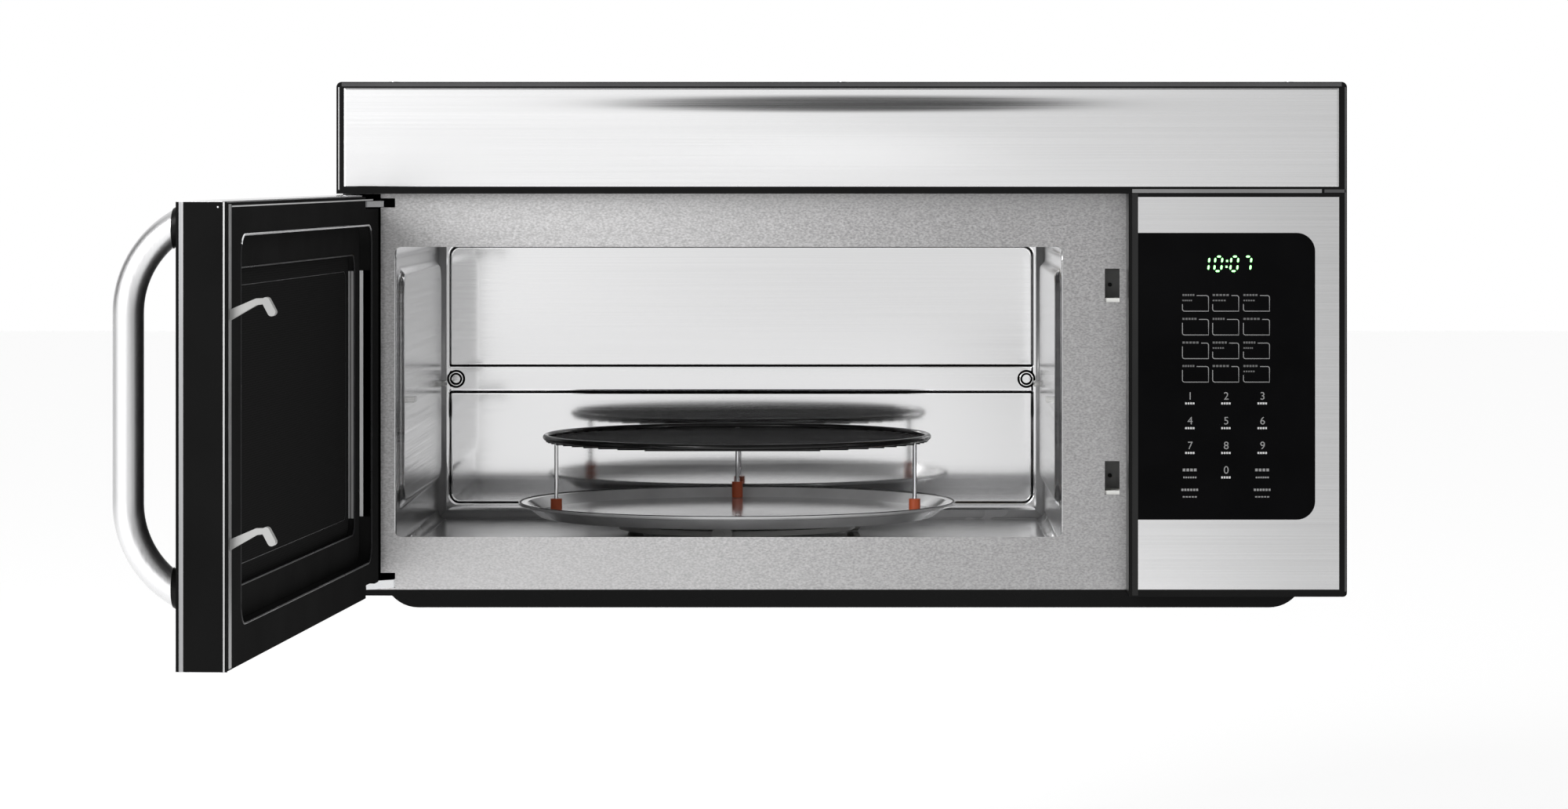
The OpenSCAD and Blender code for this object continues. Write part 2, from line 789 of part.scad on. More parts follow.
module hinge_brackets() {
    tail = 14;
    head_r = 3.6;
    foot_top = 2.5;
    foot_low = 10.3;
    color(zinc_c) from_base() {
        hinge_arm(arm_top, arm_top_t, foot_top);
        hinge_arm(arm_low, arm_low_t, foot_low);
        translate([hinge_x + arm_in, liner_y + gap, 0]) {
            block(0, foot_top, 0, 2, arm_top - 1, arm_top + 1);
            block(0, foot_low, 0, 2, arm_top - 24, arm_top - 0.6);
            block(foot_low - 1, foot_low + 13, 0, 3, arm_low, arm_low + arm_low_t);
            block(foot_low + 1, foot_low + 13, 0, 2, arm_low + 1, floor_h - 2);
        }
        translate([hinge_x, hinge_y, arm_top - tail]) cylinder(r = pin_r, h = tail + 1);
        translate([hinge_x, hinge_y, arm_top + arm_top_t - 1]) cylinder(r = head_r, h = 3.5);
        translate([hinge_x, hinge_y, arm_low + 1]) cylinder(r = pin_r, h = tail + arm_low_t - 1);
    }
}

door_glass_x0 = door_x0 + 78;
notch = 69;              // reach of the cut-outs for the hinge arms, from the hinge's axis

// The door glass is square at the free edge and rounded at its hinge side.
module glass_outline() {
    x1 = door_x1 - skin;
    translate([door_glass_x0 + glass_r, glass_z0])
        square([x1 - door_glass_x0 - glass_r, glass_z1 - glass_z0]);
    translate([door_glass_x0, glass_z0 + glass_r])
        square([x1 - door_glass_x0, glass_z1 - glass_z0 - 2 * glass_r]);
    for (z = [glass_z0 + glass_r, glass_z1 - glass_r]) translate([door_glass_x0 + glass_r, z]) circle(glass_r);
}

module door_skin() {
    color(bright_c) from_base() on_door() difference() {
        union() {
            block(door_x0, door_x1, front_y, front_y + skin, door_z0, door_z1);
            block(door_x0, door_x0 + skin, front_y, front_y + 16, door_z0, door_z1);
            for (z = [door_z0, door_z1 - skin]) {
                block(door_x0, hinge_x + notch, front_y, front_y + 16, z, z + skin);
                block(hinge_x + notch, door_x1, front_y, front_y + 30, z, z + skin);
            }
            block(door_x1 - skin, door_x1, front_y, front_y + 4, door_z0, door_z1);
        }
        upright(front_y - 1, front_y + 5) glass_outline();
    }
}

module door_glass() {
    color([0.03, 0.03, 0.035]) from_base() on_door() upright(front_y, front_y + 3.5) glass_outline();
}

choke_x0 = door_x0 + 59;
choke_x1 = door_x1 - 42;
choke_z0 = 40;
choke_z1 = 291;
choke_r = 14;
rim = 22;                // width of the choke cover round the window

// The plastic body carries the hinge bores, the latch pocket and a recess for the choke cover.
module door_body() {
    pocket_x0 = slot_x - 6.5;
    pocket_x1 = slot_x + 6;
    ledge = rim - 8;
    color(black_c) from_base() on_door() difference() {
        union() {
            block(hinge_x + 34, door_x1 - skin, front_y + skin, inner_y, door_z0 + skin, door_z1 - skin);
            block(hinge_x + 14, hinge_x + 34, front_y + skin, inner_y, arm_low + arm_low_t + 1, arm_top - 1);
            for (z = [[arm_low + arm_low_t + 0.8, 44], [arm_top - 20, arm_top - 0.8]])
                block(hinge_x - 8, hinge_x + 14, front_y + skin, hinge_y + 6, z[0], z[1]);
        }
        upright(front_y, front_y + 3.5) glass_outline();
        upright(choke_y0, inner_y + 1) round_rect(choke_x0, choke_x1, choke_z0, choke_z1, choke_r);
        block(choke_x0 + ledge, choke_x1 - ledge, front_y, inner_y, choke_z0 + ledge, choke_z1 - ledge);
        for (z = [[door_z0, 24.5], [302.5, door_z1]])
            block(hinge_x + 30, hinge_x + notch, hinge_y + 0.5, inner_y + 1, z[0], z[1]);
        block(pocket_x0, pocket_x1, front_y + 6, inner_y - 2.5, latch_low - 12, latch_high + 22);
        for (z = [latch_low, latch_high])
            block(slot_x - 3.2, slot_x + 3.2, inner_y - 5, inner_y + 1, z - 9, z + 7);
        translate([hinge_x, hinge_y, 0]) cylinder(r = pin_r + run, h = body_h);
    }
}

// The choke cover lies in the recess round the window, and seals the cavity's mouth.
module choke_frame() {
    color([0.08, 0.08, 0.08]) from_base() on_door() difference() {
        rounded_plate(choke_x0 + gap, choke_x1 - gap, choke_y0, choke_y1,
            choke_z0 + gap, choke_z1 - gap, choke_r - gap);
        rounded_plate(choke_x0 + rim, choke_x1 - rim, choke_y0 - 1, choke_y1 + 1,
            choke_z0 + rim, choke_z1 - rim, 10);
    }
}

module door_screen() {
    edge = rim - 7.5;
    color([0.1, 0.1, 0.1]) from_base() on_door()
        block(choke_x0 + edge, choke_x1 - edge, choke_y0 - 1.5, choke_y0, choke_z0 + edge, choke_z1 - edge);
}

// A hook's outline in Y and Z: the arm rises out of the door and ends in a lobe that hangs down.
module hook_outline(z) {
    root = front_y + 20;
    polygon([[root, z - 7], [inner_y, z - 7], [inner_y + 17.5, z + 3], [inner_y + 24, z + 3.8],
        [inner_y + 24, z + 7.5], [inner_y + 16.8, z + 7.2], [inner_y, z], [root, z]]);
}

module lobe_outline(z) {
    lobe_r = 2.6;
    lobe_h = 3.9;            // from the lobe's middle to the middle of either round end
    translate([inner_y + 25.2, z + 2]) rotate(-62) {
        translate([-lobe_h, -lobe_r]) square([2 * lobe_h, 2 * lobe_r]);
        for (s = [-1, 1]) translate([s * lobe_h, 0]) circle(lobe_r);
    }
}

module latch_bar() {
    color("lightgray") from_base() on_door() {
        block(slot_x - 4.5, slot_x + 4, front_y + 9, front_y + 21, latch_low - 8, latch_high + 8);
        for (z = [latch_low, latch_high]) {
            sideways(slot_x - 2, slot_x + 2) hook_outline(z);
            sideways(slot_x - 3.6, slot_x + 3) lobe_outline(z);
        }
    }
}

module latch_spring() {
    color("silver") from_base() on_door() translate([slot_x, front_y + 15, latch_high + 8]) difference() {
        cylinder(r = 3.6, h = 14);
        translate([0, 0, -1]) cylinder(r = 2.6, h = 20);
    }
}

grip = 60.8;                                  // half the length of the handle's straight stretch
drop = handle_reach - handle_r;             // fall from the tube's middle line to the door
bend = 2 * atan(drop / (handle_h / 2 - grip));
bend_r = (handle_h / 2 - grip) / sin(bend);

// The bow: a straight grip with an arc at each end that runs into the door's face.
module handle_path(r) {
    translate([handle_x, front_y - drop, handle_z]) {
        translate([0, 0, -grip]) cylinder(r = r, h = 2 * grip);
        for (s = [0, 1]) mirror([0, 0, s]) translate([0, bend_r, grip]) rotate([0, 0, -90])
            rotate([90, 0, 0]) rotate_extrude(angle = bend + 8) translate([bend_r, 0]) circle(r);
    }
}

base_t = 7;

module handle() {
    color(bright_c) from_base() on_door() intersection() {
        handle_path(handle_r);
        block(handle_x - 40, handle_x + 40, front_y - 100, front_y - base_t, 0, body_h);
    }
}

module handle_bases() {
    color(black_c) from_base() on_door() intersection() {
        handle_path(handle_r + 0.8);
        block(handle_x - 40, handle_x + 40, front_y - base_t, front_y, 0, body_h);
    }
}

outer_case();
rear_panel();
chassis_floor();
base_pan();
front_plate();
cavity_floor();
cavity_ceiling();
cavity_back_wall();
cavity_side_left();
cavity_side_right();
rack_supports();
waveguide();
waveguide_cover();
magnetron();
hv_transformer();
hv_capacitor();
cooling_fan_shroud();
fan_motors();
cooling_fan();
blower_housings();
blower_motor();
blower_wheels();
vent_trim();
vent_panel();
charcoal_filter();
grease_filter_left();
grease_filter_right();
lamp_lenses();
convection_housing();
heater_element();
convection_fan();
control_housing();
control_fascia();
touch_glass();
display_module();
control_board();
interlock_bracket();
interlock_switches();
switch_plungers();
turntable_motor();
drive_coupler();
turntable_tray();
roller_ring();
roller_wheel_1();
roller_wheel_2();
roller_wheel_3();
cooking_rack();
rack_legs();
rack_feet();
hinge_brackets();
door_skin();
door_glass();
door_body();
choke_frame();
door_screen();
latch_bar();
latch_spring();
handle();
handle_bases();
case_screws();
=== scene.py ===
import json
import math

import bmesh
import bpy
from mathutils import Matrix, Vector


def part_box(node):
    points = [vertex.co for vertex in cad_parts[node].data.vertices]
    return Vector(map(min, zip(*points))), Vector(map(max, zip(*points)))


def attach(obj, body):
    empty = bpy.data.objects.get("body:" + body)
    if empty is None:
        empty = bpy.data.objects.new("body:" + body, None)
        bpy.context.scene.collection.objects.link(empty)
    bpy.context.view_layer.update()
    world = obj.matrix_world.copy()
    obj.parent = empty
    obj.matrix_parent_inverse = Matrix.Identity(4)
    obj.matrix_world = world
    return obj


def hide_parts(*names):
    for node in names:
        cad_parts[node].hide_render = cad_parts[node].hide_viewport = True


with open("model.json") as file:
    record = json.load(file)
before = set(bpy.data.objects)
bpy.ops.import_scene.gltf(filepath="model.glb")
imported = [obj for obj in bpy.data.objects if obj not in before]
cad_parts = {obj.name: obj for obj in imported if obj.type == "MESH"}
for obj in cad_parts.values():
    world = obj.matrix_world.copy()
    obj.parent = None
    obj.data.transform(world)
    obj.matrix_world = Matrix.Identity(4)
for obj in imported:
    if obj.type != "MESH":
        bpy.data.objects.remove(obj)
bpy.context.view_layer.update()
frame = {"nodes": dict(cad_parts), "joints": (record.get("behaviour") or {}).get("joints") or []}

MM = 0.001


# ---- Places, from the frame ----

def low(node):
    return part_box(node)[0]


def high(node):
    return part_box(node)[1]


BASE = low("base_pan").z                      # underside of the oven
FRONT = low("control_fascia").y               # the front plane
PLATE = low("front_plate").y                  # face of the front plate
CAV_X0 = low("cavity_side_left").x + MM
CAV_X1 = high("cavity_side_right").x - MM
CAV_TOP = low("cavity_ceiling").z
CAV_FLOOR = low("cavity_floor").z + MM
CAV_FRONT = low("cavity_side_left").y
CAV_BACK = high("cavity_back_wall").y - MM    # face of the back wall
DOOR_W = 592.5 * MM                           # the shut door, side to side
DOOR_H = high("door_skin").z - low("door_skin").z
DOOR_Z0 = low("door_skin").z
HINGE = next(j for j in frame["joints"] if j["name"] == "door_hinge")
HINGE_AT = Vector(HINGE["pos_m"])
OPEN_ANGLE = math.radians(HINGE["range_deg"][1])
DOOR_X0 = HINGE_AT.x - 14 * MM                # the shut door's hinge edge
DOOR_X1 = DOOR_X0 + DOOR_W
SWING = (Matrix.Translation(HINGE_AT) @ Matrix.Rotation(-OPEN_ANGLE, 4, "Z")
         @ Matrix.Translation(-HINGE_AT))


def up(mm):
    """A height above the oven's underside, in the frame."""
    return BASE + mm * MM


# ---- Camera, floor and light ----

CAMERA_BACK = 3.6        # camera's distance from the front plane
CAMERA_X = 0.0185
CAMERA_UP = 338.2        # its height above the underside, in millimetres
VIEW_W = 1.1776          # width of the view at the front plane
VIEW_SHIFT = (-0.0525, -0.155)       # of the view's centre, as parts of its width
SENSOR = 36.0


def make_camera():
    data = bpy.data.cameras.new("camera")
    camera = bpy.data.objects.new("camera", data)
    bpy.context.scene.collection.objects.link(camera)
    camera.location = (CAMERA_X, FRONT - CAMERA_BACK, up(CAMERA_UP))
    camera.rotation_euler = (math.radians(90), 0, 0)
    data.sensor_width = SENSOR
    data.lens = SENSOR * CAMERA_BACK / VIEW_W
    data.shift_x, data.shift_y = VIEW_SHIFT
    data.clip_end = 100
    bpy.context.scene.camera = camera


def area_light(name, location, target, size, power):
    data = bpy.data.lights.new(name, "AREA")
    data.shape = "RECTANGLE"
    data.size, data.size_y = size
    data.energy = power
    light = bpy.data.objects.new(name, data)
    bpy.context.scene.collection.objects.link(light)
    light.location = location
    direction = Vector(target) - Vector(location)
    light.rotation_euler = direction.to_track_quat("-Z", "Y").to_euler()


def math_node(nodes, links, operation, one, two=None):
    node = nodes.new("ShaderNodeMath")
    node.operation = operation
    for socket, value in zip(node.inputs, (one, two)):
        if value is None:
            continue
        if isinstance(value, (int, float)):
            socket.default_value = value
        else:
            links.new(value, socket)
    return node.outputs[0]


def coordinates(nodes, links, kind):
    """The X, Y and Z of a texture coordinate, such as Object or UV."""
    coords = nodes.new("ShaderNodeTexCoord")
    split = nodes.new("ShaderNodeSeparateXYZ")
    links.new(coords.outputs[kind], split.inputs[0])
    return split.outputs


def falloff(nodes, links, value, start, end, before, after):
    """Runs smoothly from one level to another while the value goes from start to end."""
    node = nodes.new("ShaderNodeMapRange")
    node.interpolation_type = "SMOOTHSTEP"
    for key, level in (("From Min", start), ("From Max", end), ("To Min", before), ("To Max", after)):
        node.inputs[key].default_value = level
    links.new(value, node.inputs["Value"])
    return node.outputs[0]


def make_world():
    """White all round. Behind the camera it falls off to the right and upwards, with a dark patch
    above, and at the far left it has a dark card, which the steel fronts mirror."""
    world = bpy.data.worlds.new("studio")
    bpy.context.scene.world = world
    world.use_nodes = True
    nodes, links = world.node_tree.nodes, world.node_tree.links
    background = nodes["Background"]
    axes = coordinates(nodes, links, "Generated")
    x, y, z = axes["X"], axes["Y"], axes["Z"]

    def fade(value, start, end, before, after):
        return falloff(nodes, links, value, start, end, before, after)

    def combine(operation, one, two):
        return math_node(nodes, links, operation, one, two)

    across = combine("MULTIPLY", fade(x, -0.11, 0.0, 1.09, 0.865), fade(x, 0.05, 0.125, 1.0, 0.55))
    overhead = fade(z, 0.2, 0.75, 1.0, 0.35)
    patch_z, patch_narrow, patch_flat = 0.4, 5.0, 4.2
    wide = combine("POWER", combine("MULTIPLY", x, patch_narrow), 2)
    tall = combine("POWER", combine("MULTIPLY", combine("SUBTRACT", z, patch_z), patch_flat), 2)
    patch = fade(combine("ADD", wide, tall), 0.3, 1.4, 0.02, 1.0)
    dimmed = combine("MULTIPLY", combine("MULTIPLY", across, overhead), patch)
    behind = fade(y, -0.25, 0.1, 0.0, 1.0)
    left = combine("MULTIPLY", fade(x, -0.8, -0.55, 1.0, 0.0), fade(y, -0.1, 0.1, 0.0, 1.0))
    card = fade(combine("MULTIPLY", left, fade(y, 0.5, 0.8, 1.0, 0.0)), 0.0, 1.0, 1.0, 0.12)
    strength = nodes.new("ShaderNodeMix")
    strength.data_type = "FLOAT"
    links.new(behind, strength.inputs["Factor"])
    links.new(dimmed, strength.inputs["A"])
    links.new(card, strength.inputs["B"])
    links.new(strength.outputs["Result"], background.inputs["Strength"])
    background.inputs["Color"].default_value = (1, 1, 1, 1)


def make_stage():
    """A wide pale floor below the oven, which hangs above it. It glows faintly, and its colour is painted
    darker towards the front right as painted shade.
    """
    drop, half = 0.3, 14
    mesh = bpy.data.meshes.new("floor")
    z = BASE - drop
    mesh.from_pydata([(-half, -half, z), (half, -half, z), (half, half, z), (-half, half, z)], [],
                     [(0, 1, 2, 3)])
    floor = bpy.data.objects.new("floor", mesh)
    bpy.context.scene.collection.objects.link(floor)
    mat, nodes, links, shader = new_material("floor_paint")
    paint, glow_strength = 0.9, 0.35
    axes = coordinates(nodes, links, "Object")
    # Painted shade: the floor's colour is darkened towards the right and the front.
    dim = math_node(nodes, links, "MULTIPLY", falloff(nodes, links, axes["X"], 0.1, 0.8, 0.0, 0.5),
                    falloff(nodes, links, axes["Y"], -2.5, -1.0, 1.0, 0.0))
    links.new(math_node(nodes, links, "SUBTRACT", paint, dim), shader.inputs["Base Color"])
    shader.inputs["Roughness"].default_value = 0.9
    shader.inputs["Specular IOR Level"].default_value = 0.0
    shader.inputs["Emission Color"].default_value = (1, 1, 1, 1)
    shader.inputs["Emission Strength"].default_value = glow_strength
    mesh.materials.append(mat)


# ---- Materials ----

NOISE_LOW, NOISE_HIGH = 0.3, 0.7      # where a noise's values mostly lie


def new_material(name):
    mat = bpy.data.materials.new(name)
    mat.use_nodes = True
    nodes, links = mat.node_tree.nodes, mat.node_tree.links
    return mat, nodes, links, nodes["Principled BSDF"]


def noise(nodes, links, stretch, scale=1.0, detail=4.0):
    """Noise over the object's own metres, stretched by a scale for each axis."""
    coords = nodes.new("ShaderNodeTexCoord")
    mapping = nodes.new("ShaderNodeMapping")
    mapping.inputs["Scale"].default_value = stretch
    mapping.vector_type = "POINT"
    links.new(coords.outputs["Object"], mapping.inputs["Vector"])
    texture = nodes.new("ShaderNodeTexNoise")
    texture.inputs["Scale"].default_value = scale
    texture.inputs["Detail"].default_value = detail
    links.new(mapping.outputs["Vector"], texture.inputs["Vector"])
    return texture.outputs["Fac"]


def remap(nodes, links, value, to_min, to_max):
    """A noise's values, spread from to_min to to_max."""
    node = nodes.new("ShaderNodeMapRange")
    node.inputs["From Min"].default_value = NOISE_LOW
    node.inputs["From Max"].default_value = NOISE_HIGH
    node.inputs["To Min"].default_value = to_min
    node.inputs["To Max"].default_value = to_max
    links.new(value, node.inputs["Value"])
    return node.outputs[0]


def tint(nodes, links, value, first, second, shader, start=NOISE_LOW, end=NOISE_HIGH):
    """The surface's colour runs from the first to the second as the value goes from start to end."""
    ramp = nodes.new("ShaderNodeValToRGB")
    for stop, position, colour in zip(ramp.color_ramp.elements, (start, end), (first, second)):
        stop.position = position
        stop.color = (*colour, 1)
    links.new(value, ramp.inputs["Fac"])
    links.new(ramp.outputs["Color"], shader.inputs["Base Color"])


def bump(nodes, links, value, shader, strength, distance):
    node = nodes.new("ShaderNodeBump")
    node.inputs["Strength"].default_value = strength
    node.inputs["Distance"].default_value = distance
    links.new(value, node.inputs["Height"])
    links.new(node.outputs["Normal"], shader.inputs["Normal"])


def shade(colour, factor):
    return tuple(min(1, c * factor) for c in colour)


def brushed_metal(name, colour, rough, stretch, spread=0.06, grain=0.15, across=None):
    """Rolled or brushed steel: fine lines along the axis with the smallest stretch.
    Where across gives (left x, right x, left factor, right factor), the colour runs between them: painted
    shading from side to side."""
    mat, nodes, links, shader = new_material(name)
    shader.inputs["Metallic"].default_value = 1.0
    lines = noise(nodes, links, stretch)
    tint(nodes, links, lines, shade(colour, 1 - spread), shade(colour, 1 + spread * 0.4), shader)
    # Painted shading: the base colour is scaled from one side to the other along X.
    if across:
        axes = coordinates(nodes, links, "Object")
        scale = nodes.new("ShaderNodeVectorMath")
        scale.operation = "SCALE"
        links.new(shader.inputs["Base Color"].links[0].from_socket, scale.inputs[0])
        links.new(falloff(nodes, links, axes["X"], *across), scale.inputs["Scale"])
        links.new(scale.outputs[0], shader.inputs["Base Color"])
    links.new(remap(nodes, links, lines, rough * 0.8, rough * 1.2), shader.inputs["Roughness"])
    bump(nodes, links, lines, shader, grain, 0.02 * MM)
    return mat


def moulded_plastic(name, colour, rough, grain=0.1, size=900.0, shine=0.5):
    """Plastic or paint with a fine texture; a larger size means finer cells."""
    mat, nodes, links, shader = new_material(name)
    shader.inputs["Specular IOR Level"].default_value = shine
    cells = noise(nodes, links, (1, 1, 1), size, 2.0)
    cloud = noise(nodes, links, (1, 1, 1), 12.0, 3.0)
    tint(nodes, links, cloud, shade(colour, 0.85), shade(colour, 1.1), shader)
    links.new(remap(nodes, links, cloud, rough * 0.85, rough * 1.2), shader.inputs["Roughness"])
    bump(nodes, links, cells, shader, grain, 0.05 * MM)
    return mat


def enamel(name, colour, rough, coat, shine, coat_rough=0.04):
    """Glossy enamel, with a slight waviness."""
    mat, nodes, links, shader = new_material(name)
    shader.inputs["Specular IOR Level"].default_value = shine
    shader.inputs["Coat Weight"].default_value = coat
    shader.inputs["Coat Roughness"].default_value = coat_rough
    wave = noise(nodes, links, (1, 1, 1), 30.0, 3.0)
    tint(nodes, links, wave, shade(colour, 0.9), shade(colour, 1.1), shader)
    links.new(remap(nodes, links, wave, rough * 0.8, rough * 1.3), shader.inputs["Roughness"])
    bump(nodes, links, wave, shader, 0.05, 0.3 * MM)
    return mat


def black_glass(name, colour):
    """Printed glass: a black layer under a hard gloss that has a faint haze of fingerprints."""
    mat, nodes, links, shader = new_material(name)
    haze = noise(nodes, links, (1, 1, 1), 25.0, 6.0)
    tint(nodes, links, haze, shade(colour, 0.8), shade(colour, 1.3), shader)
    links.new(remap(nodes, links, haze, 0.02, 0.06), shader.inputs["Roughness"])
    shader.inputs["Specular IOR Level"].default_value = 0.035
    return mat


def glow(name, colour, strength):
    """A lit surface."""
    mat, nodes, links, shader = new_material(name)
    wisps = noise(nodes, links, (1, 1, 1), 300.0, 2.0)
    tint(nodes, links, wisps, shade(colour, 0.9), colour, shader)
    shader.inputs["Emission Color"].default_value = (*colour, 1)
    shader.inputs["Emission Strength"].default_value = strength
    return mat


def clear(name, colour, rough):
    """Glass or plastic that light passes through."""
    mat, nodes, links, shader = new_material(name)
    haze = noise(nodes, links, (1, 1, 1), 60.0, 3.0)
    tint(nodes, links, haze, shade(colour, 0.95), colour, shader)
    shader.inputs["Transmission Weight"].default_value = 0.85
    links.new(remap(nodes, links, haze, rough * 0.8, rough * 1.2), shader.inputs["Roughness"])
    return mat


def perforated(name):
    """Black steel with round holes in staggered rows, over coordinates counted in holes."""
    mat, nodes, links, shader = new_material(name)
    axes = coordinates(nodes, links, "UV")
    waves = [math_node(nodes, links, "COSINE", math_node(nodes, links, "MULTIPLY", axes[axis], 2 * math.pi))
             for axis in ("X", "Y")]
    holes = math_node(nodes, links, "MULTIPLY", *waves)
    tint(nodes, links, holes, (0.016, 0.016, 0.016), (0.006, 0.006, 0.006), shader, 0.25, 0.4)
    shader.inputs["Roughness"].default_value = 0.3
    shader.inputs["Specular IOR Level"].default_value = 0.0
    return mat


ACROSS = (3, 3, 1800)            # grain that runs from side to side
UPRIGHT = (1800, 1800, 3)        # grain that runs up and down

M = {
    "panel": brushed_metal("panel_steel", (0.86, 0.86, 0.865), 0.19, ACROSS, spread=0.04, grain=0.1),
    "door_panel": brushed_metal("door_steel", (0.68, 0.68, 0.685), 0.26, ACROSS, spread=0.1),
    "handle": brushed_metal("handle_steel", (0.66, 0.66, 0.665), 0.36, UPRIGHT, grain=0.1),
    # The fascia's colour is painted a little darker towards the right: painted shading.
    "fascia": brushed_metal("fascia_steel", (0.86, 0.86, 0.865), 0.19, ACROSS, spread=0.04, grain=0.1,
                            across=(0.24, 0.37, 0.9, 0.84)),
    # The front plate's colour is painted lighter at the left and darker at the right: painted shading, on top
    # of its random grain.
    "plate": brushed_metal("front_plate_steel", (0.535, 0.53, 0.532), 0.36, (500, 500, 900),
                           spread=0.3, grain=0.5, across=(-0.32, 0.16, 1.14, 0.76)),
    "cavity": brushed_metal("cavity_steel", (0.8, 0.8, 0.805), 0.07, (4, 4, 700), spread=0.02,
                            grain=0.02),
    "cavity_soft": brushed_metal("cavity_soft_steel", (0.8, 0.8, 0.805), 0.22, (4, 4, 700), spread=0.02,
                                 grain=0.02),
    "edge_metal": brushed_metal("edge_metal", (0.28, 0.28, 0.285), 0.4, (300, 300, 3), spread=0.3),
    "edge_line": brushed_metal("edge_line", (0.4, 0.4, 0.4), 0.4, (300, 300, 3), spread=0.3),
    "plated": brushed_metal("plated_steel", (0.62, 0.63, 0.64), 0.4, (40, 40, 40), spread=0.12),
    "case": moulded_plastic("case_paint", (0.055, 0.055, 0.057), 0.45, 0.15, 700.0),
    # Zinc for the hinge brackets and screws, also used as a painted highlight on the door recess's top lip.
    "zinc": brushed_metal("bright_zinc_and_painted_highlight", (0.82, 0.83, 0.84), 0.18, (200, 200, 200)),
    "chrome": brushed_metal("chrome_wire", (0.9, 0.9, 0.91), 0.06, (60, 60, 60), spread=0.02,
                            grain=0.0),
    "aluminium": brushed_metal("aluminium", (0.72, 0.72, 0.73), 0.38, (120, 120, 120)),
    "spring": brushed_metal("spring_wire", (0.6, 0.6, 0.62), 0.25, (300, 300, 300)),
    "black": moulded_plastic("black_plastic", (0.005, 0.005, 0.005), 0.3, shine=0.08),
    "door_black": moulded_plastic("door_plastic", (0.014, 0.014, 0.014), 0.5, shine=0.0),
    "edge_black": moulded_plastic("edge_plastic", (0.005, 0.005, 0.005), 0.4, shine=0.02),
    "gloss_black": enamel("gloss_black", (0.014, 0.014, 0.014), 0.35, coat=0.0, shine=0.0),
    "pan": enamel("black_pan", (0.004, 0.004, 0.004), 0.25, coat=0.0, shine=0.08),
    "tray": enamel("tray_enamel", (0.6, 0.6, 0.605), 0.2, coat=1.0, shine=0.8, coat_rough=0.12),
    "rack": enamel("rack_coating", (0.006, 0.006, 0.006), 0.2, coat=0.2, shine=0.2),
    "glass": black_glass("black_glass", (0.0018, 0.0018, 0.002)),
    "lens": clear("lamp_lens", (0.93, 0.95, 0.95), 0.25),
    "clear": clear("clear_plastic", (0.92, 0.92, 0.9), 0.2),
    "white": moulded_plastic("white_plastic", (0.78, 0.78, 0.75), 0.4),
    "grey": moulded_plastic("grey_acetal", (0.3, 0.3, 0.295), 0.3),
    "dim_plastic": moulded_plastic("dim_plastic", (0.3, 0.3, 0.3), 0.4),
    "silicone": moulded_plastic("orange_silicone", (0.55, 0.1, 0.03), 0.5, 0.2, 500.0),
    "board": moulded_plastic("circuit_board", (0.01, 0.1, 0.04), 0.35, 0.4, 250.0),
    "mica": moulded_plastic("mica", (0.55, 0.43, 0.27), 0.5, 0.5, 90.0),
    "carbon": moulded_plastic("charcoal", (0.02, 0.02, 0.02), 0.9, 0.9, 400.0),
    "dark_metal": moulded_plastic("varnished_steel", (0.05, 0.05, 0.052), 0.4, 0.3, 600.0),
    "screen": perforated("door_screen"),
    "soft_black": enamel("soft_black", (0.025, 0.025, 0.026), 0.3, coat=0.0, shine=0.1),
    # A pale and a grey strip material that paint highlights on the door recess's step walls.
    "wall_painted_highlight": moulded_plastic("recess_painted_highlight", (0.95, 0.95, 0.95), 0.4, shine=0.4),
    "wall_painted_dim_highlight": moulded_plastic("recess_painted_dim_highlight", (0.42, 0.42, 0.42), 0.4, shine=0.2),
    # Pale grey diffuse paint for the cavity's steel corner strips: a painted sheen.
    "fillet": moulded_plastic("fillet_painted_sheen", (0.5, 0.5, 0.505), 0.25, shine=1.0),
    "matt_black": moulded_plastic("matt_black", (0.001, 0.001, 0.001), 0.6, shine=0.0),
    # line_dark and line_pale paint sheen and a glint on the black trim's edges; line_grey and line_dark also
    # colour the seam.
    "line_dark": moulded_plastic("trim_sheen", (0.065, 0.065, 0.066), 0.4, shine=0.1),
    "line_grey": moulded_plastic("seam_grey", (0.18, 0.18, 0.18), 0.4, shine=0.1),
    "line_pale": moulded_plastic("trim_glint", (0.6, 0.6, 0.6), 0.4, shine=0.1),
    "edge_step": moulded_plastic("step_grey", (0.022, 0.022, 0.022), 0.4, shine=0.05),
    "ink": moulded_plastic("printed_grey", (0.2, 0.2, 0.2), 0.5, 0.0),
    # Pale print for the key marks, also used for a painted highlight along the door's inner face.
    "ink_pale_and_painted_highlight": moulded_plastic("printed_white_and_painted_highlight", (0.5, 0.5, 0.5), 0.5, 0.0),
    "ink_dim": moulded_plastic("printed_dim", (0.09, 0.09, 0.09), 0.5, 0.0),
    "digits": glow("display_digits", (0.3, 1.0, 0.3), 2.2),
}

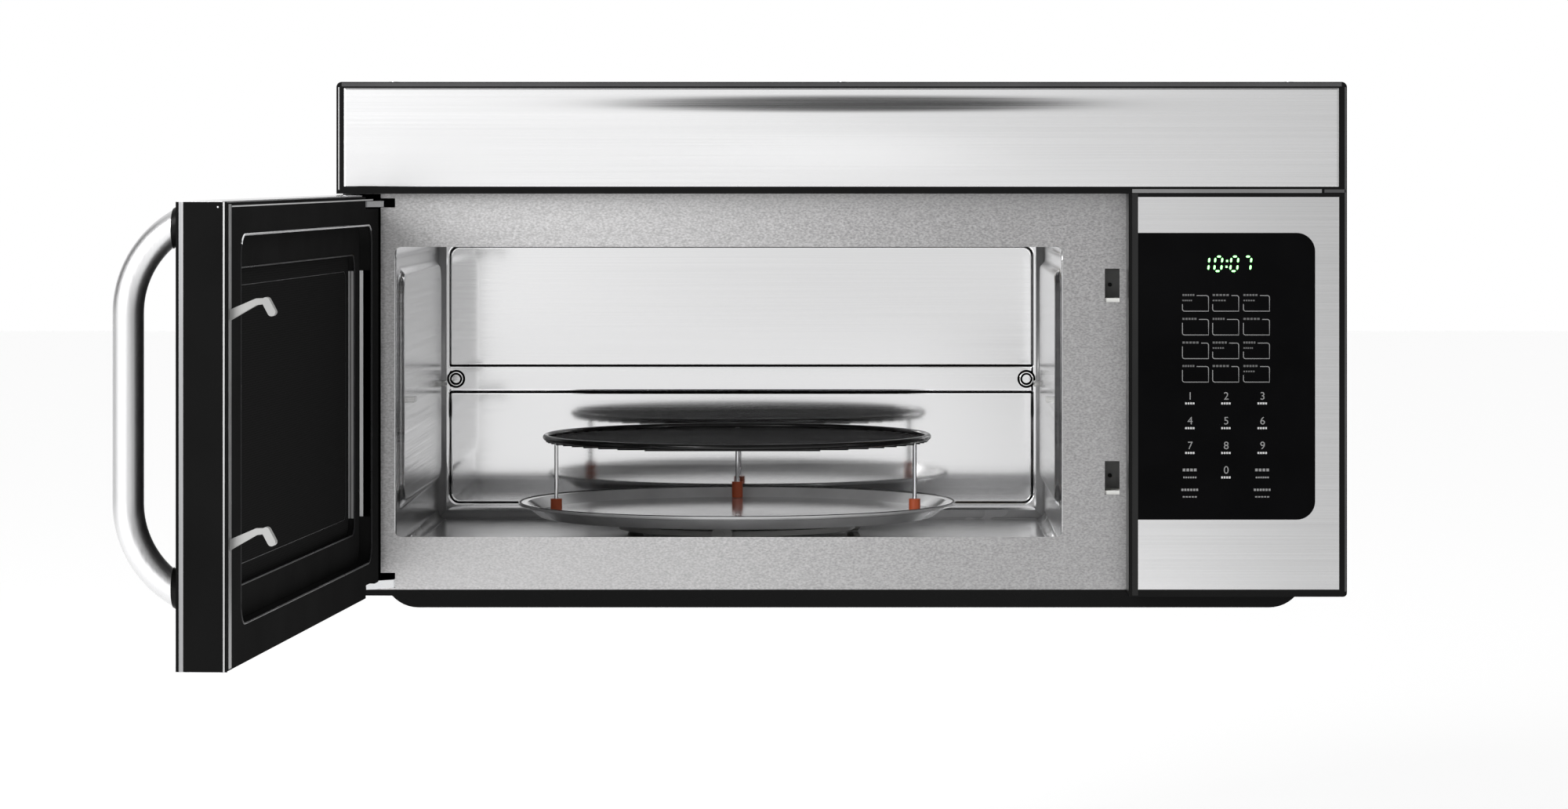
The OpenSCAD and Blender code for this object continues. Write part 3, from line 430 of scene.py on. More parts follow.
NODE_MATERIALS = {
    "outer_case": "case", "rear_panel": "plated", "chassis_floor": "plated", "base_pan": "pan",
    "front_plate": "plate", "cavity_floor": "cavity_soft", "cavity_ceiling": "cavity",
    "cavity_back_wall": "cavity", "cavity_side_left": "cavity", "cavity_side_right": "cavity",
    "rack_supports": "clear", "waveguide": "plated", "waveguide_cover": "mica",
    "magnetron": "aluminium", "hv_transformer": "dark_metal", "hv_capacitor": "aluminium",
    "cooling_fan_shroud": "black", "fan_motors": "dark_metal", "cooling_fan": "white",
    "blower_housings": "plated", "blower_motor": "dark_metal", "blower_wheels": "white",
    "vent_trim": "black", "vent_panel": "panel", "charcoal_filter": "carbon",
    "grease_filter_left": "aluminium", "grease_filter_right": "aluminium",
    "lamp_lenses": "lens", "convection_housing": "plated", "heater_element": "dark_metal",
    "convection_fan": "aluminium", "control_housing": "black", "control_fascia": "fascia",
    "touch_glass": "glass", "display_module": "board", "control_board": "board",
    "interlock_bracket": "white", "interlock_switches": "dim_plastic", "switch_plungers": "black",
    "turntable_motor": "aluminium", "drive_coupler": "white", "turntable_tray": "tray",
    "roller_ring": "white", "roller_wheel_1": "white", "roller_wheel_2": "white",
    "roller_wheel_3": "white", "cooking_rack": "rack", "rack_legs": "chrome",
    "rack_feet": "silicone", "hinge_brackets": "zinc", "door_skin": "door_panel",
    "door_glass": "glass", "door_body": "door_black", "choke_frame": "gloss_black",
    "door_screen": "screen", "latch_bar": "grey", "latch_spring": "spring", "handle": "handle",
    "handle_bases": "black", "case_screws": "zinc",
}

# Sheet and moulded nodes whose edges take a small rounding, with its width in millimetres.
ROUNDED_NODES = {
    "vent_trim": 0.8, "vent_panel": 0.3, "control_housing": 0.8, "control_fascia": 0.3,
    "front_plate": 0.4, "door_skin": 0.3, "door_body": 0.6, "touch_glass": 0.25,
    "door_glass": 0.5, "choke_frame": 1.6, "latch_bar": 0.9, "hinge_brackets": 0.4,
    "rack_supports": 0.6, "base_pan": 0.3, "rack_feet": 0.8,
}


def paint_nodes():
    for node, key in NODE_MATERIALS.items():
        mesh = frame["nodes"][node].data
        mesh.materials.clear()
        mesh.materials.append(M[key])
    for node, width in ROUNDED_NODES.items():
        edge = frame["nodes"][node].modifiers.new("rounding", "BEVEL")
        edge.width = width * MM
        edge.segments = 3
        edge.limit_method = "ANGLE"
        edge.angle_limit = math.radians(40)
        edge.harden_normals = False


# ---- Mesh helpers ----

def add_object(name, mesh, material, smooth=False):
    obj = bpy.data.objects.new(name, mesh)
    bpy.context.scene.collection.objects.link(obj)
    mesh.materials.append(M[material])
    if smooth:
        for face in mesh.polygons:
            face.use_smooth = True
    return obj


def from_bmesh(name, bm, material, smooth=False):
    bmesh.ops.recalc_face_normals(bm, faces=bm.faces)
    mesh = bpy.data.meshes.new(name)
    bm.to_mesh(mesh)
    bm.free()
    return add_object(name, mesh, material, smooth)


def add_box(bm, corner, size, bevel=0.0):
    """A box from its low corner, with rounded edges where bevel is given."""
    made = bmesh.ops.create_cube(bm, size=1.0)["verts"]
    centre = Vector(corner) + Vector(size) / 2
    bmesh.ops.scale(bm, vec=Vector(size), verts=made)
    bmesh.ops.translate(bm, vec=centre, verts=made)
    if bevel:
        edges = list({e for v in made for e in v.link_edges})
        bmesh.ops.bevel(bm, geom=edges, offset=bevel, segments=2, affect="EDGES", profile=0.5)


def tube(name, points, radius, material, cyclic=False, sides=10):
    """A round wire through the points, as a mesh with closed ends."""
    bm = bmesh.new()
    rings = []
    count = len(points)
    normal = None
    for i, point in enumerate(points):
        before = points[i - 1] if i or cyclic else points[i]
        after = points[(i + 1) % count] if i < count - 1 or cyclic else points[i]
        along = (Vector(after) - Vector(before)).normalized()
        if normal is None:
            normal = along.orthogonal().normalized()
        normal = (normal - along * normal.dot(along)).normalized()
        side = along.cross(normal)
        rings.append([bm.verts.new(Vector(point) + radius * (math.cos(a) * normal + math.sin(a) * side))
                      for a in round_angles(sides)])
    for i in range(count if cyclic else count - 1):
        one, two = rings[i], rings[(i + 1) % count]
        for k in range(sides):
            bm.faces.new((one[k], one[(k + 1) % sides], two[(k + 1) % sides], two[k]))
    if not cyclic:
        bm.faces.new(rings[0])
        bm.faces.new(rings[-1])
    return from_bmesh(name, bm, material, True)


def hang(obj):
    """Swings a piece made for the shut door to where the door stands, and fixes it there."""
    obj.data.transform(SWING)
    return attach(obj, "door")


def thicken(obj, thickness, offset=-1):
    """Gives a sheet its thickness: inwards from its faces, or half on each side with an offset of 0."""
    solid = obj.modifiers.new("thickness", "SOLIDIFY")
    solid.thickness = thickness
    solid.offset = offset


def round_angles(sides):
    """The angles of a circle's points, in radians."""
    return [2 * math.pi * k / sides for k in range(sides)]


def smooth_step(value):
    value = max(0.0, min(1.0, value))
    return value * value * (3 - 2 * value)


def rounded_inside(u, v, half_u, half_v, corner):
    """Distance from a rounded rectangle's outline, above zero inside it."""
    du = abs(u) - (half_u - corner)
    dv = abs(v) - (half_v - corner)
    outside = math.hypot(max(du, 0), max(dv, 0))
    return corner - outside - min(max(du, dv), 0)


def spread_lines(low_edge, high_edge, features, fine=0.8 * MM, reach=6 * MM, coarse=12 * MM):
    """Grid lines from edge to edge, close together round the features."""
    lines = {low_edge, high_edge}
    steps = int(round((high_edge - low_edge) / coarse))
    lines.update(low_edge + (high_edge - low_edge) * i / steps for i in range(steps + 1))
    for start, end in features:
        count = int(round((end - start + 2 * reach) / fine))
        lines.update(start - reach + fine * i for i in range(count + 1))
    kept = sorted(x for x in lines if low_edge <= x <= high_edge)
    thinned = [kept[0]]
    for x in kept[1:]:
        if x - thinned[-1] > fine * 0.45:
            thinned.append(x)
    thinned[-1] = high_edge
    return thinned


def pressed_sheet(name, lines_u, lines_v, place, material):
    """A smooth sheet over a grid; place(u, v) gives each point."""
    verts = [place(u, v) for v in lines_v for u in lines_u]
    wide = len(lines_u)
    faces = [(j * wide + i, j * wide + i + 1, (j + 1) * wide + i + 1, (j + 1) * wide + i)
             for j in range(len(lines_v) - 1) for i in range(wide - 1)]
    mesh = bpy.data.meshes.new(name)
    mesh.from_pydata(verts, [], faces)
    obj = add_object(name, mesh, material, True)
    bm = bmesh.new()
    bm.from_mesh(mesh)
    bmesh.ops.recalc_face_normals(bm, faces=bm.faces)
    bm.to_mesh(mesh)
    bm.free()
    thicken(obj, 0.8 * MM, offset=0)
    return obj


# ---- Cavity ----

def cavity_back():
    """The back wall: two pressed panels, with a flat band between them and a step all round."""
    edge, corner, slope, depth = 9 * MM, 9 * MM, 2.2 * MM, 3.0 * MM
    band0, band1 = up(145.7), up(167.4)
    z0, z1 = CAV_FLOOR - MM, CAV_TOP + MM
    pane_z0, pane_z1 = CAV_FLOOR + 12 * MM, CAV_TOP - 5 * MM
    mid_x, mid_z = (CAV_X0 + CAV_X1) / 2, (pane_z0 + pane_z1) / 2
    half_x, half_z = (CAV_X1 - CAV_X0) / 2 - edge, (pane_z1 - pane_z0) / 2

    def place(x, z):
        inside = rounded_inside(x - mid_x, z - mid_z, half_x, half_z, corner)
        sunk = depth * smooth_step(inside / slope)
        away = max(band0 - z, z - band1)
        band = 1 - smooth_step((away + slope / 2) / slope)
        return (x, CAV_BACK - 3 * MM + sunk * (1 - 0.7 * band), z)

    lines_x = spread_lines(CAV_X0 - MM, CAV_X1 + MM, [(CAV_X0 + edge, CAV_X0 + edge + corner),
                                                      (CAV_X1 - edge - corner, CAV_X1 - edge)],
                           fine=0.7 * MM, reach=2 * MM)
    lines_z = spread_lines(z0, z1, [(pane_z0, pane_z0 + corner), (pane_z1 - corner, pane_z1),
                                    (band0, band0), (band1, band1)], fine=0.7 * MM, reach=2 * MM)
    wall = pressed_sheet("cavity_back_formed", lines_x, lines_z, place, "cavity")
    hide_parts("cavity_back_wall")
    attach(wall, "case")
    left, right = CAV_X0 + edge + 0.6 * MM, CAV_X1 - edge - 0.6 * MM
    tight = 1.5 * MM
    # Matte black tubes along each panel's outline: painted shade along the panel's step.
    for name, bottom, top, low_r, high_r in (
            ("lower", pane_z0 + 0.6 * MM, band0 - 0.4 * MM, corner, tight),
            ("upper", band1 + 0.4 * MM, pane_z1 - 0.6 * MM, tight, corner)):
        outline = (arc(left + low_r, bottom + low_r, low_r, 270, 180)
                   + arc(left + high_r, top - high_r, high_r, 180, 90)
                   + arc(right - high_r, top - high_r, high_r, 90, 0)
                   + arc(right - low_r, bottom + low_r, low_r, 0, -90))
        crease = tube(f"back_crease_{name}", [(px, CAV_BACK - 2.2 * MM, pz) for px, pz in outline],
                      0.8 * MM, "matt_black", cyclic=True, sides=6)
        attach(crease, "case")
    for name, x in (("left", CAV_X0 + 15 * MM), ("right", CAV_X1 - 15 * MM)):
        ring_boss(name, x, (band0 + band1) / 2, CAV_BACK - 2.4 * MM)


def ring_boss(name, x, z, y):
    """A round boss with a dished middle, for a support's screw, and a groove on each side, darkened by a
    matte black ring as painted shade.
    """
    sides = 40
    profile = [(3.6, 0.4), (4.4, -1.6), (5.6, -2.2), (6.6, -1.2), (7.2, 0.6)]   # radius and depth, in mm

    def circle(r, d):
        return [(x + r * MM * math.cos(a), y + d * MM, z + r * MM * math.sin(a)) for a in round_angles(sides)]

    bm = bmesh.new()
    rings = [[bm.verts.new(point) for point in circle(r, d)] for r, d in profile]
    bm.faces.new(rings[0])
    for one, two in zip(rings, rings[1:]):
        for k in range(sides):
            bm.faces.new((one[k], one[(k + 1) % sides], two[(k + 1) % sides], two[k]))
    boss = from_bmesh(f"back_boss_{name}", bm, "cavity", True)
    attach(boss, "case")
    # Matte black rings: painted shade in the grooves.
    for part, r, d in (("outer", 6.7, -1.4), ("inner", 4.3, -1.9)):
        groove = tube(f"back_boss_{name}_{part}", circle(r, d), 0.8 * MM, "matt_black", cyclic=True, sides=6)
        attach(groove, "case")


def cavity_side(name, x, inward, node):
    """A side wall with a raised panel that has wide soft shoulders."""
    corner, slope, depth = 22 * MM, 7 * MM, 4.5 * MM
    foot, margin_y, margin_z = 16 * MM, 20 * MM, 16 * MM
    mid_y, mid_z = (CAV_FRONT + CAV_BACK) / 2, (CAV_FLOOR + foot + CAV_TOP) / 2
    half_y = (CAV_BACK - CAV_FRONT) / 2 - margin_y
    half_z = (CAV_TOP - CAV_FLOOR - foot) / 2 - margin_z

    def place(y, z):
        inside = rounded_inside(y - mid_y, z - mid_z, half_y, half_z, corner)
        return (x + inward * depth * smooth_step(inside / slope), y, z)

    def corners(middle, half):
        return [(middle - half, middle - half + corner), (middle + half - corner, middle + half)]

    lines_y = spread_lines(CAV_FRONT, CAV_BACK, corners(mid_y, half_y), fine=1.6 * MM, reach=3 * MM)
    lines_z = spread_lines(CAV_FLOOR - MM, CAV_TOP + MM, corners(mid_z, half_z), fine=1.6 * MM, reach=3 * MM)
    wall = pressed_sheet(f"cavity_{name}_formed", lines_y, lines_z, place, "cavity_soft")
    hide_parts(node)
    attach(wall, "case")


def cavity_fillet(name, start, end, toward, radius):
    """A concave corner strip between two walls, from start to end. Its pale grey diffuse colour is a painted
    sheen in place of the steel's own reflection.
    """
    steps = 8
    one, two = Vector(toward[0]), Vector(toward[1])
    bm = bmesh.new()
    rows = []
    for point in (Vector(start), Vector(end)):
        row = []
        for k in range(steps + 1):
            a = math.pi / 2 * k / steps
            offset = radius * ((1 - math.sin(a)) * one + (1 - math.cos(a)) * two)
            row.append(bm.verts.new(point + offset))
        rows.append(row)
    for k in range(steps):
        bm.faces.new((rows[0][k], rows[0][k + 1], rows[1][k + 1], rows[1][k]))
    strip = from_bmesh(name, bm, "fillet", True)
    thicken(strip, 0.4 * MM)
    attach(strip, "case")


def cavity():
    cavity_back()
    cavity_side("left", CAV_X0, 1, "cavity_side_left")
    cavity_side("right", CAV_X1, -1, "cavity_side_right")
    back, r = CAV_BACK - 3.4 * MM, 7 * MM
    for name, x, inward in (("left", CAV_X0, 1), ("right", CAV_X1, -1)):
        cavity_fillet(f"fillet_back_{name}", (x, back, CAV_FLOOR), (x, back, CAV_TOP),
                      ((inward, 0, 0), (0, -1, 0)), r)
        cavity_fillet(f"fillet_floor_{name}", (x, CAV_FRONT, CAV_FLOOR), (x, back, CAV_FLOOR),
                      ((inward, 0, 0), (0, 0, 1)), r)
    cavity_fillet("fillet_floor_back", (CAV_X0, back, CAV_FLOOR), (CAV_X1, back, CAV_FLOOR),
                  ((0, -1, 0), (0, 0, 1)), r)


# ---- Vent ----

def vent_face():
    """The vent's stainless face, with a shallow bulge below the middle of its top edge."""
    (x0, _, z0), (x1, _, z1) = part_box("vent_panel")
    lip, lip_depth = 1.4 * MM, 0.7
    bulge_x, bulge_w, height = 5 * MM, 190 * MM, 2.2 * MM
    foot_run, top_gap, top_run = 50 * MM, 20 * MM, 16 * MM

    def place(x, z):
        middle = math.exp(-((x - bulge_x) / bulge_w) ** 2)
        bulge = height * middle * (1 - smooth_step((z - z1 + top_gap) / top_run))
        bulge *= smooth_step((z - z0) / foot_run)
        edge = min(x - x0, x1 - x, z1 - z)
        turned = max(0.0, 1 - edge / lip)
        back = lip * (1 - math.sqrt(max(0.0, 1 - turned * turned))) * lip_depth
        return (x, FRONT - bulge + back, z)

    lines_x = spread_lines(x0, x1, [(x0, x0), (x1, x1)], fine=0.35 * MM, reach=2 * MM, coarse=20 * MM)
    lines_z = spread_lines(z0, z1, [(z0, z0), (z1 - 22 * MM, z1)], fine=0.35 * MM, reach=2 * MM,
                           coarse=6 * MM)
    face = pressed_sheet("vent_face", lines_x, lines_z, place, "panel")
    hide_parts("vent_panel")
    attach(face, "case")


# ---- Control panel ----

SEGMENTS = {"0": "abcdef", "1": "bc", "7": "abc"}     # from the top bar, clockwise


def seven_segment(bm, digit, x, z, width, height, slant, depth_y, weight):
    """One digit of separate bars with pointed ends, leaning to the right."""
    half_h = height / 2
    ends = {
        "a": ((0, height), (width, height)), "b": ((width, half_h), (width, height)),
        "c": ((width, 0), (width, half_h)), "d": ((0, 0), (width, 0)),
        "e": ((0, 0), (0, half_h)), "f": ((0, half_h), (0, height)),
    }
    for key in SEGMENTS[digit]:
        (u0, v0), (u1, v1) = ends[key]
        along = Vector((u1 - u0, v1 - v0)).normalized()
        across = Vector((-along.y, along.x))
        short = weight * 0.62
        a = Vector((u0, v0)) + along * short
        b = Vector((u1, v1)) - along * short
        outline = [a, a + (along + across) * weight / 2, b + (across - along) * weight / 2,
                   b, b - (along + across) * weight / 2, a + (along - across) * weight / 2]
        verts = [bm.verts.new((x + p.x + slant * p.y, depth_y, z + p.y)) for p in outline]
        bm.faces.new(verts)


def display_digits():
    """The clock's four digits and its colon, 10:07, in bright green."""
    x0, z0 = 275.5 * MM, up(255.9)
    width, height, weight, slant = 5.2 * MM, 10.9 * MM, 1.5 * MM, 0.1
    digit_offsets = (("1", -5.5), ("0", 4.2), ("0", 16.2), ("7", 26.0))     # from x0, in millimetres
    colon_offset, dot_heights = 13.2, (3.2, 7.6)
    y = FRONT - 0.12 * MM
    bm = bmesh.new()
    for digit, offset in digit_offsets:
        seven_segment(bm, digit, x0 + offset * MM, z0, width, height, slant, y, weight)
    for v in dot_heights:
        u = x0 + colon_offset * MM + slant * v * MM
        dot = [bm.verts.new((u + a * weight / 2, y, z0 + v * MM + b * weight / 2))
               for a, b in ((-1, -1), (1, -1), (1, 1), (-1, 1))]
        bm.faces.new(dot)
    digits = from_bmesh("display_digits", bm, "digits")
    thicken(digits, 0.08 * MM)
    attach(digits, "case")


def arc(cx, cz, r, start, end, steps=5):
    """Points round a circle's part, angles in degrees."""
    return [(cx + r * math.cos(math.radians(start + (end - start) * i / steps)),
             cz + r * math.sin(math.radians(start + (end - start) * i / steps)))
            for i in range(steps + 1)]


def ribbon(bm, points, width, y):
    """A flat printed line through points in X and Z."""
    rows = []
    for i, point in enumerate(points):
        before = Vector(points[max(i - 1, 0)])
        after = Vector(points[min(i + 1, len(points) - 1)])
        along = (after - before).normalized()
        side = Vector((-along.y, along.x)) * width / 2
        here = Vector(point)
        rows.append([bm.verts.new((here.x + side.x, y, here.y + side.y)),
                     bm.verts.new((here.x - side.x, y, here.y - side.y))])
    for one, two in zip(rows, rows[1:]):
        bm.faces.new((one[0], one[1], two[1], two[0]))


# The upper keys' left edges and feet, their size, and the plane of the ink.
KEY_X = [255.9 * MM, 278.6 * MM, 301.7 * MM]
KEY_Z = [up(225.8), up(207.9), up(190.1), up(172.5)]
KEY_W, KEY_H = 19.6 * MM, 11.7 * MM
INK_Y = FRONT - 0.1 * MM


def printed(name, bm, material):
    """Ink on the control panel's glass, from flat faces."""
    piece = from_bmesh(name, bm, material)
    thicken(piece, 0.06 * MM)
    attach(piece, "case")


def bar(bm, x, z, width, height):
    ribbon(bm, [(x, z), (x + width, z)], height, INK_Y)


def dashes(bm, x, z, width, count, height):
    """A row of short bars that stands where a label would be."""
    pitch = width / count
    for i in range(count):
        bar(bm, x + i * pitch, z, pitch * 0.72, height)


def key_outlines():
    """Twelve key outlines, open at the top left, where each has one or two rows of bars."""
    lines, labels = bmesh.new(), bmesh.new()
    r = 1.6 * MM
    for row, z in enumerate(KEY_Z):
        for column, x in enumerate(KEY_X):
            label = (9.5 + 1.7 * ((row + 2 * column) % 3)) * MM
            two_lines = (row, column) in ((0, 0), (0, 1), (0, 2), (2, 1), (2, 2), (3, 2))
            side_top = z + KEY_H - (6.4 if two_lines else 2.6) * MM
            x1, z1 = x + KEY_W, z + KEY_H
            path = ([(x, side_top)] + arc(x + r, z + r, r, 180, 270) + [(x1, z)]
                    + arc(x1 - r, z1 - r, r, 0, 90) + [(x + label + 1.2 * MM, z1)])
            ribbon(lines, path, 0.6 * MM, INK_Y)
            dashes(labels, x, z1 + 0.4 * MM, label, 5, 1.5 * MM)
            if two_lines:
                dashes(labels, x, z1 - 3.7 * MM, label * 0.8, 5, 1.1 * MM)
    printed("key_outlines", lines, "ink")
    printed("key_bars", labels, "ink_dim")


def number(text, x, z, size, name):
    """A keypad figure, centred on x and z."""
    curve = bpy.data.curves.new(name, "FONT")
    curve.body = text
    curve.size = size
    curve.align_x = "CENTER"
    curve.align_y = "CENTER"
    curve.extrude = 0.03 * MM
    source = bpy.data.objects.new(name + "_curve", curve)
    bpy.context.scene.collection.objects.link(source)
    bpy.context.view_layer.update()
    mesh = bpy.data.meshes.new_from_object(source)
    bpy.data.objects.remove(source)
    mesh.transform(Matrix.Translation((x, INK_Y, z)) @ Matrix.Rotation(math.radians(90), 4, "X"))
    mesh.materials.clear()
    figure = add_object(name, mesh, "ink")
    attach(figure, "case")


def keypad():
    """The figures 0 to 9, with bars below each, and the bars of the two outer keys beside the 0."""
    columns = [261.7 * MM, 288.8 * MM, 316.1 * MM]
    rows = [up(161.8), up(143.2), up(124.6), up(106.2)]
    figure_h, mark_w, mark_drop = 8.2 * MM, 7.6 * MM, 5.3 * MM
    marks = bmesh.new()
    figure = 1
    for row, z in enumerate(rows):
        for column, x in enumerate(columns):
            if row < 3:
                number(str(figure), x, z, figure_h, f"key_figure_{figure}")
                figure += 1
            elif column == 1:
                number("0", x, z, figure_h, "key_figure_0")
            if row < 3 or column == 1:
                dashes(marks, x - mark_w / 2, z - mark_drop, mark_w, 4, 1.5 * MM)
    printed("key_marks", marks, "ink_pale_and_painted_highlight")
    # Each legend's height on the panel, its width, the number of its bars and their height.
    legends = ((rows[3] + 0.3 * MM, 11.2 * MM, 4, 2.0 * MM), (rows[3] - mark_drop, 10.4 * MM, 6, 1.2 * MM),
               (up(91.6), 13.2 * MM, 6, 1.7 * MM), (up(86.3), 11.2 * MM, 5, 1.0 * MM))
    bars = bmesh.new()
    for x in (columns[0], columns[2]):
        for z, width, count, height in legends:
            dashes(bars, x - width / 2, z, width, count, height)
    printed("key_legends", bars, "ink")


# ---- Door details ----

def shut_strip(name, corner, size, material, bevel=0.0):
    """A bar on the shut door, from its low corner."""
    bm = bmesh.new()
    add_box(bm, corner, size, bevel)
    hang(from_bmesh(name, bm, material))


def door_edges():
    """Layers down the free edge, a grey strip along the inner face's free edge and a pale strip along its
    top, both painted highlights, and a screw head on the free edge.
    """
    z0, z1 = DOOR_Z0 + 0.4 * MM, DOOR_Z0 + DOOR_H - 0.4 * MM
    inner = FRONT + 33 * MM
    layers = (("front", -0.1, 1.9, "edge_black"), ("bright", 1.9, 4.7, "edge_metal"),
              ("side", 4.7, 30.2, "edge_black"), ("line", 30.2, 31.3, "edge_line"),
              ("groove", 31.3, 32.9, "edge_black"))       # millimetres back from the front plane
    for name, start, end, material in layers:
        shut_strip(f"edge_{name}", (DOOR_X1 - 0.5 * MM, FRONT + start * MM, z0),
                   (0.75 * MM, (end - start) * MM, z1 - z0), material)
    # A painted highlight: a grey strip just inside the free edge of the inner face.
    shut_strip("rim_free", (DOOR_X1 - 12.6 * MM, inner - 0.2 * MM, z0 + 1.5 * MM),
               (9.2 * MM, 0.35 * MM, z1 - z0 - 3 * MM), "edge_line")
    # A painted highlight: a pale strip along the top of the inner face.
    shut_strip("rim_top", (DOOR_X0 + 52 * MM, inner - 0.2 * MM, z1 - 3.4 * MM),
               (DOOR_W - 66 * MM, 0.35 * MM, 0.9 * MM), "ink_pale_and_painted_highlight")
    shut_strip("edge_screw", (DOOR_X1 - 0.6 * MM, FRONT + 26.2 * MM, DOOR_Z0 + DOOR_H - 4.4 * MM),
               (0.9 * MM, 1.6 * MM, 1.6 * MM), "zinc", bevel=0.4 * MM)


# The choke cover's sides on the shut door: left, right, foot and top.
CHOKE = (DOOR_X0 + 59 * MM, DOOR_X1 - 42 * MM, DOOR_Z0 + 26 * MM, DOOR_Z0 + 277 * MM)


def rim_path(inset, corner, y, parts):
    """Points along chosen sides of the choke's outline, drawn in by inset."""
    x0, x1 = CHOKE[0] + inset, CHOKE[1] - inset
    z0, z1 = CHOKE[2] + inset, CHOKE[3] - inset
    left, right, foot, top = x0 + corner, x1 - corner, z0 + corner, z1 - corner
    runs = {"left": arc(left, foot, corner, 270, 180) + arc(left, top, corner, 180, 90),
            "top": arc(left, top, corner, 135, 90) + arc(right, top, corner, 90, 35),
            "right": arc(right, top, corner, 90, 0) + arc(right, foot, corner, 0, -90),
            "bottom": arc(right, foot, corner, 0, -90) + arc(left, foot, corner, 270, 180)}
    return [[(x, y, z) for x, z in runs[part]] for part in parts]


def recess_lines():
    """Rounded lips where the inner face steps down to the choke cover and to the window. The zinc on the top
    lip and the pale and grey strips on the steps' walls are painted highlights.
    """
    all_round, end_gap = ("left", "top", "right", "bottom"), 34 * MM
    for name, inset, corner, back, radius, material, parts in (
            # The top lip's zinc is a painted highlight on the black lip.
            ("lip_top", 0.0, 14 * MM, 33.0, 0.9 * MM, "zinc", ("top",)),
            ("lip", 0.0, 14 * MM, 33.0, 0.7 * MM, "soft_black", ("left", "bottom", "right")),
            ("window_lip", 22 * MM, 10 * MM, 24.0, 0.6 * MM, "soft_black", all_round),
            ("screen_rim", 34 * MM, 8 * MM, 19.4, 0.4 * MM, "soft_black", all_round)):
        for i, points in enumerate(rim_path(inset, corner, FRONT + back * MM, parts)):
            wire = tube(f"{name}_{i}", points, radius, material, sides=8)
            hang(wire)
    for name, inset, y0, y1, material in (
            # The pale and grey strips are painted highlights on the walls of the steps.
            ("wall_foot", 0.0, 24.3, 26.9, "wall_painted_highlight"), ("wall_side", 0.0, 27.2, 32.2, "matt_black"),
            ("window_side", 22.0, 21.6, 23.9, "wall_painted_dim_highlight"), ("window_foot", 22.0, 18.6, 20.9, "wall_painted_dim_highlight")):
        shut_strip(name, (CHOKE[0] + inset * MM, FRONT + y0 * MM, CHOKE[2] + end_gap),
                   (0.4 * MM, (y1 - y0) * MM, CHOKE[3] - CHOKE[2] - 2 * end_gap), material)


def front_strip(name, x0, x1, z0, z1, material):
    """A thin strip just proud of the front plane, in millimetres: x in the frame, z above the underside."""
    bm = bmesh.new()
    add_box(bm, (x0 * MM, FRONT - 0.15 * MM, up(z0)), ((x1 - x0) * MM, 0.3 * MM, (z1 - z0) * MM))
    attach(from_bmesh(name, bm, material), "case")


def trim_lines():
    """Painted highlights for the light caught by the trim's rolled edges, and the seam between vent and
    control panel.
    """
    x0, x1 = low("vent_trim").x / MM, high("vent_trim").x / MM
    foot, top = (low("vent_trim").z - BASE) / MM, (high("vent_trim").z - BASE) / MM
    seam_x0, panel_foot = low("control_housing").x / MM + 2.7, (low("control_housing").z - BASE) / MM
    front_strip("trim_line_top", x0 + 4, x1 - 4, top - 3.4, top - 0.7, "line_dark")
    front_strip("trim_line_left", x0 + 1.5, x0 + 2.2, foot + 3, top - 4, "line_pale")
    front_strip("trim_line_right", x1 - 1.7, x1 - 0.5, panel_foot + 4, top - 4, "line_dark")
    front_strip("seam_strip", seam_x0, x1 - 18.9, foot + 0.6, foot + 3.4, "line_grey")
    front_strip("seam_pin", x1 - 16.9, x1 - 1, foot + 0.8, foot + 3.2, "line_dark")
    front_strip("housing_step", seam_x0, seam_x0 + 4.4, panel_foot + 1, foot, "edge_step")


def hinge_channel():
    """A matte black strip laid on the front plate beside the hinge arms."""
    x0, width = DOOR_X0 + 2 * MM, 26.8 * MM
    bm = bmesh.new()
    add_box(bm, (x0, PLATE - 0.35 * MM, DOOR_Z0), (width, 0.5 * MM, DOOR_H + 0.6 * MM))
    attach(from_bmesh("hinge_channel", bm, "matt_black"), "case")


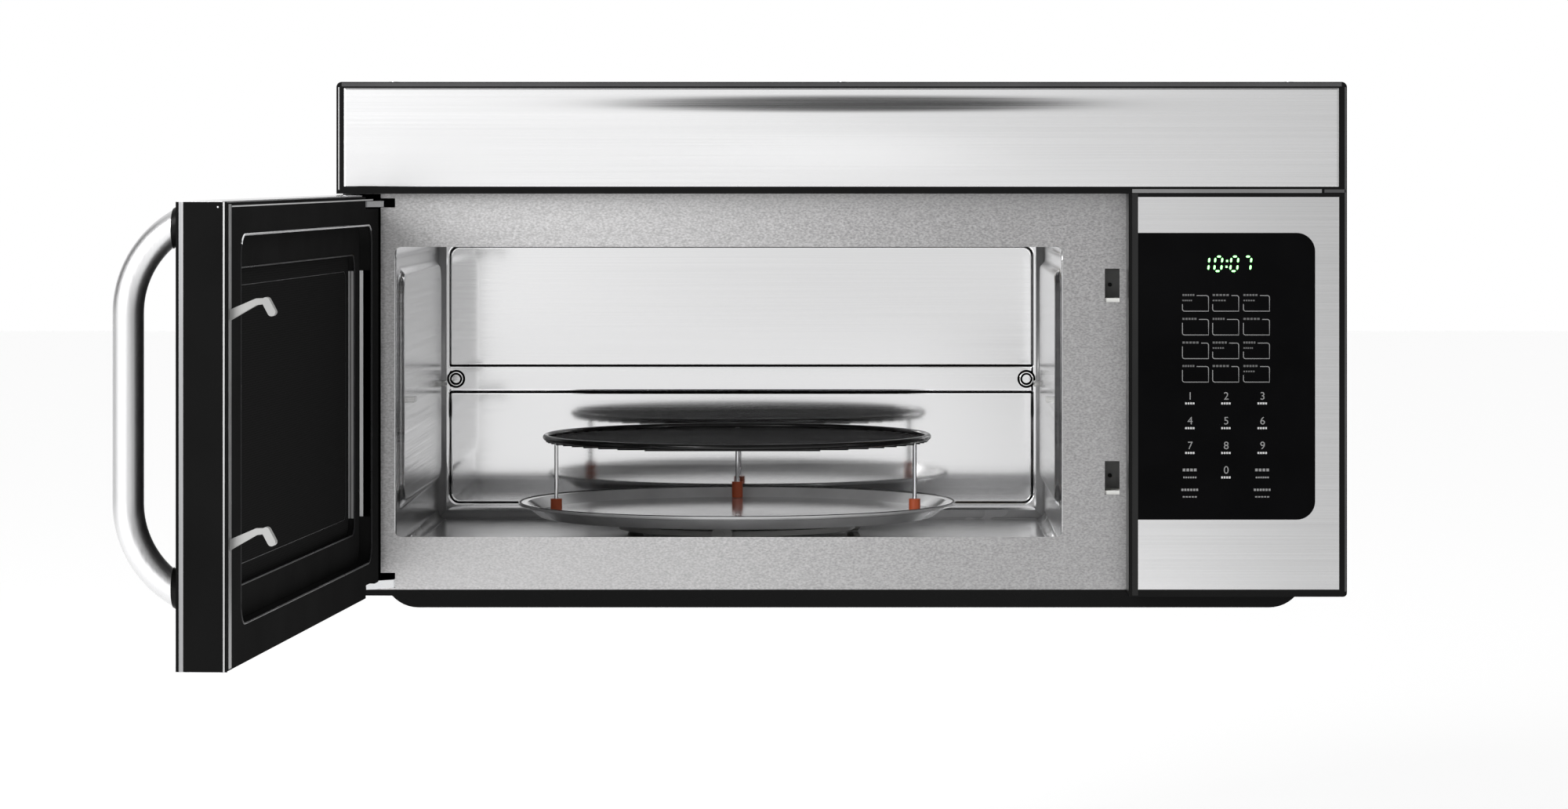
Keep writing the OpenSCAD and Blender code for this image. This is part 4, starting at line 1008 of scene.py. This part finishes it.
def door_screen():
    """The perforated screen in its frame, with coordinates counted in holes."""
    pitch, inset = 1.6 * MM, 14.5 * MM
    x0, x1 = CHOKE[0] + inset, CHOKE[1] - inset
    z0, z1 = CHOKE[2] + inset, CHOKE[3] - inset
    y = FRONT + 19.2 * MM
    bm = bmesh.new()
    layer = bm.loops.layers.uv.new("holes")
    columns, rows = 12, 6
    grid = [[bm.verts.new((x0 + (x1 - x0) * i / columns, y, z0 + (z1 - z0) * j / rows))
             for i in range(columns + 1)] for j in range(rows + 1)]
    for j in range(rows):
        for i in range(columns):
            face = bm.faces.new((grid[j][i], grid[j][i + 1], grid[j + 1][i + 1], grid[j + 1][i]))
            for loop in face.loops:
                u, v = loop.vert.co.x / pitch / 2, loop.vert.co.z / pitch / 2
                loop[layer].uv = (u, v)
    piece = from_bmesh("screen_sheet", bm, "screen")
    thicken(piece, 0.5 * MM)
    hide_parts("door_screen")
    hang(piece)


def tray_rim():
    """A dark ring along the edge of the tray."""
    (x0, y0, _), (x1, y1, z1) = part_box("turntable_tray")
    mid_x, mid_y, z = (x0 + x1) / 2, (y0 + y1) / 2, z1 - 0.7 * MM
    r = (x1 - x0) / 2 - 1.3 * MM
    points = [(mid_x + r * math.cos(a), mid_y + r * math.sin(a), z) for a in round_angles(96)]
    rim = tube("tray_rim", points, 1.2 * MM, "soft_black", cyclic=True, sides=8)
    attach(rim, "tray")


def latch_spring():
    """A close coil between the bar and the top of its pocket."""
    turns, steps, radius, wire, length = 7, 14, 3.1 * MM, 0.45 * MM, 14 * MM
    top = high("latch_spring").z
    bottom = top - length
    x, y = 204.9 * MM, FRONT + 15 * MM
    points = []
    for i in range(turns * steps + 1):
        a = 2 * math.pi * i / steps
        z = bottom + wire + (top - bottom - 2 * wire) * i / (turns * steps)
        points.append((x + radius * math.cos(a), y + radius * math.sin(a), z))
    coil = tube("latch_coil", points, wire, "spring", sides=8)
    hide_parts("latch_spring")
    hang(coil)


make_camera()
make_world()
make_stage()
area_light("key", location=(-2.0, -3.0, 1.0), target=(-0.3, -0.4, 0), size=(1.6, 1.6), power=85)
paint_nodes()
cavity()
vent_face()
display_digits()
key_outlines()
keypad()
door_edges()
recess_lines()
door_screen()
trim_lines()
hinge_channel()
tray_rim()
latch_spring()

settings = bpy.context.scene.view_settings
settings.view_transform = "Standard"
settings.look = "None"
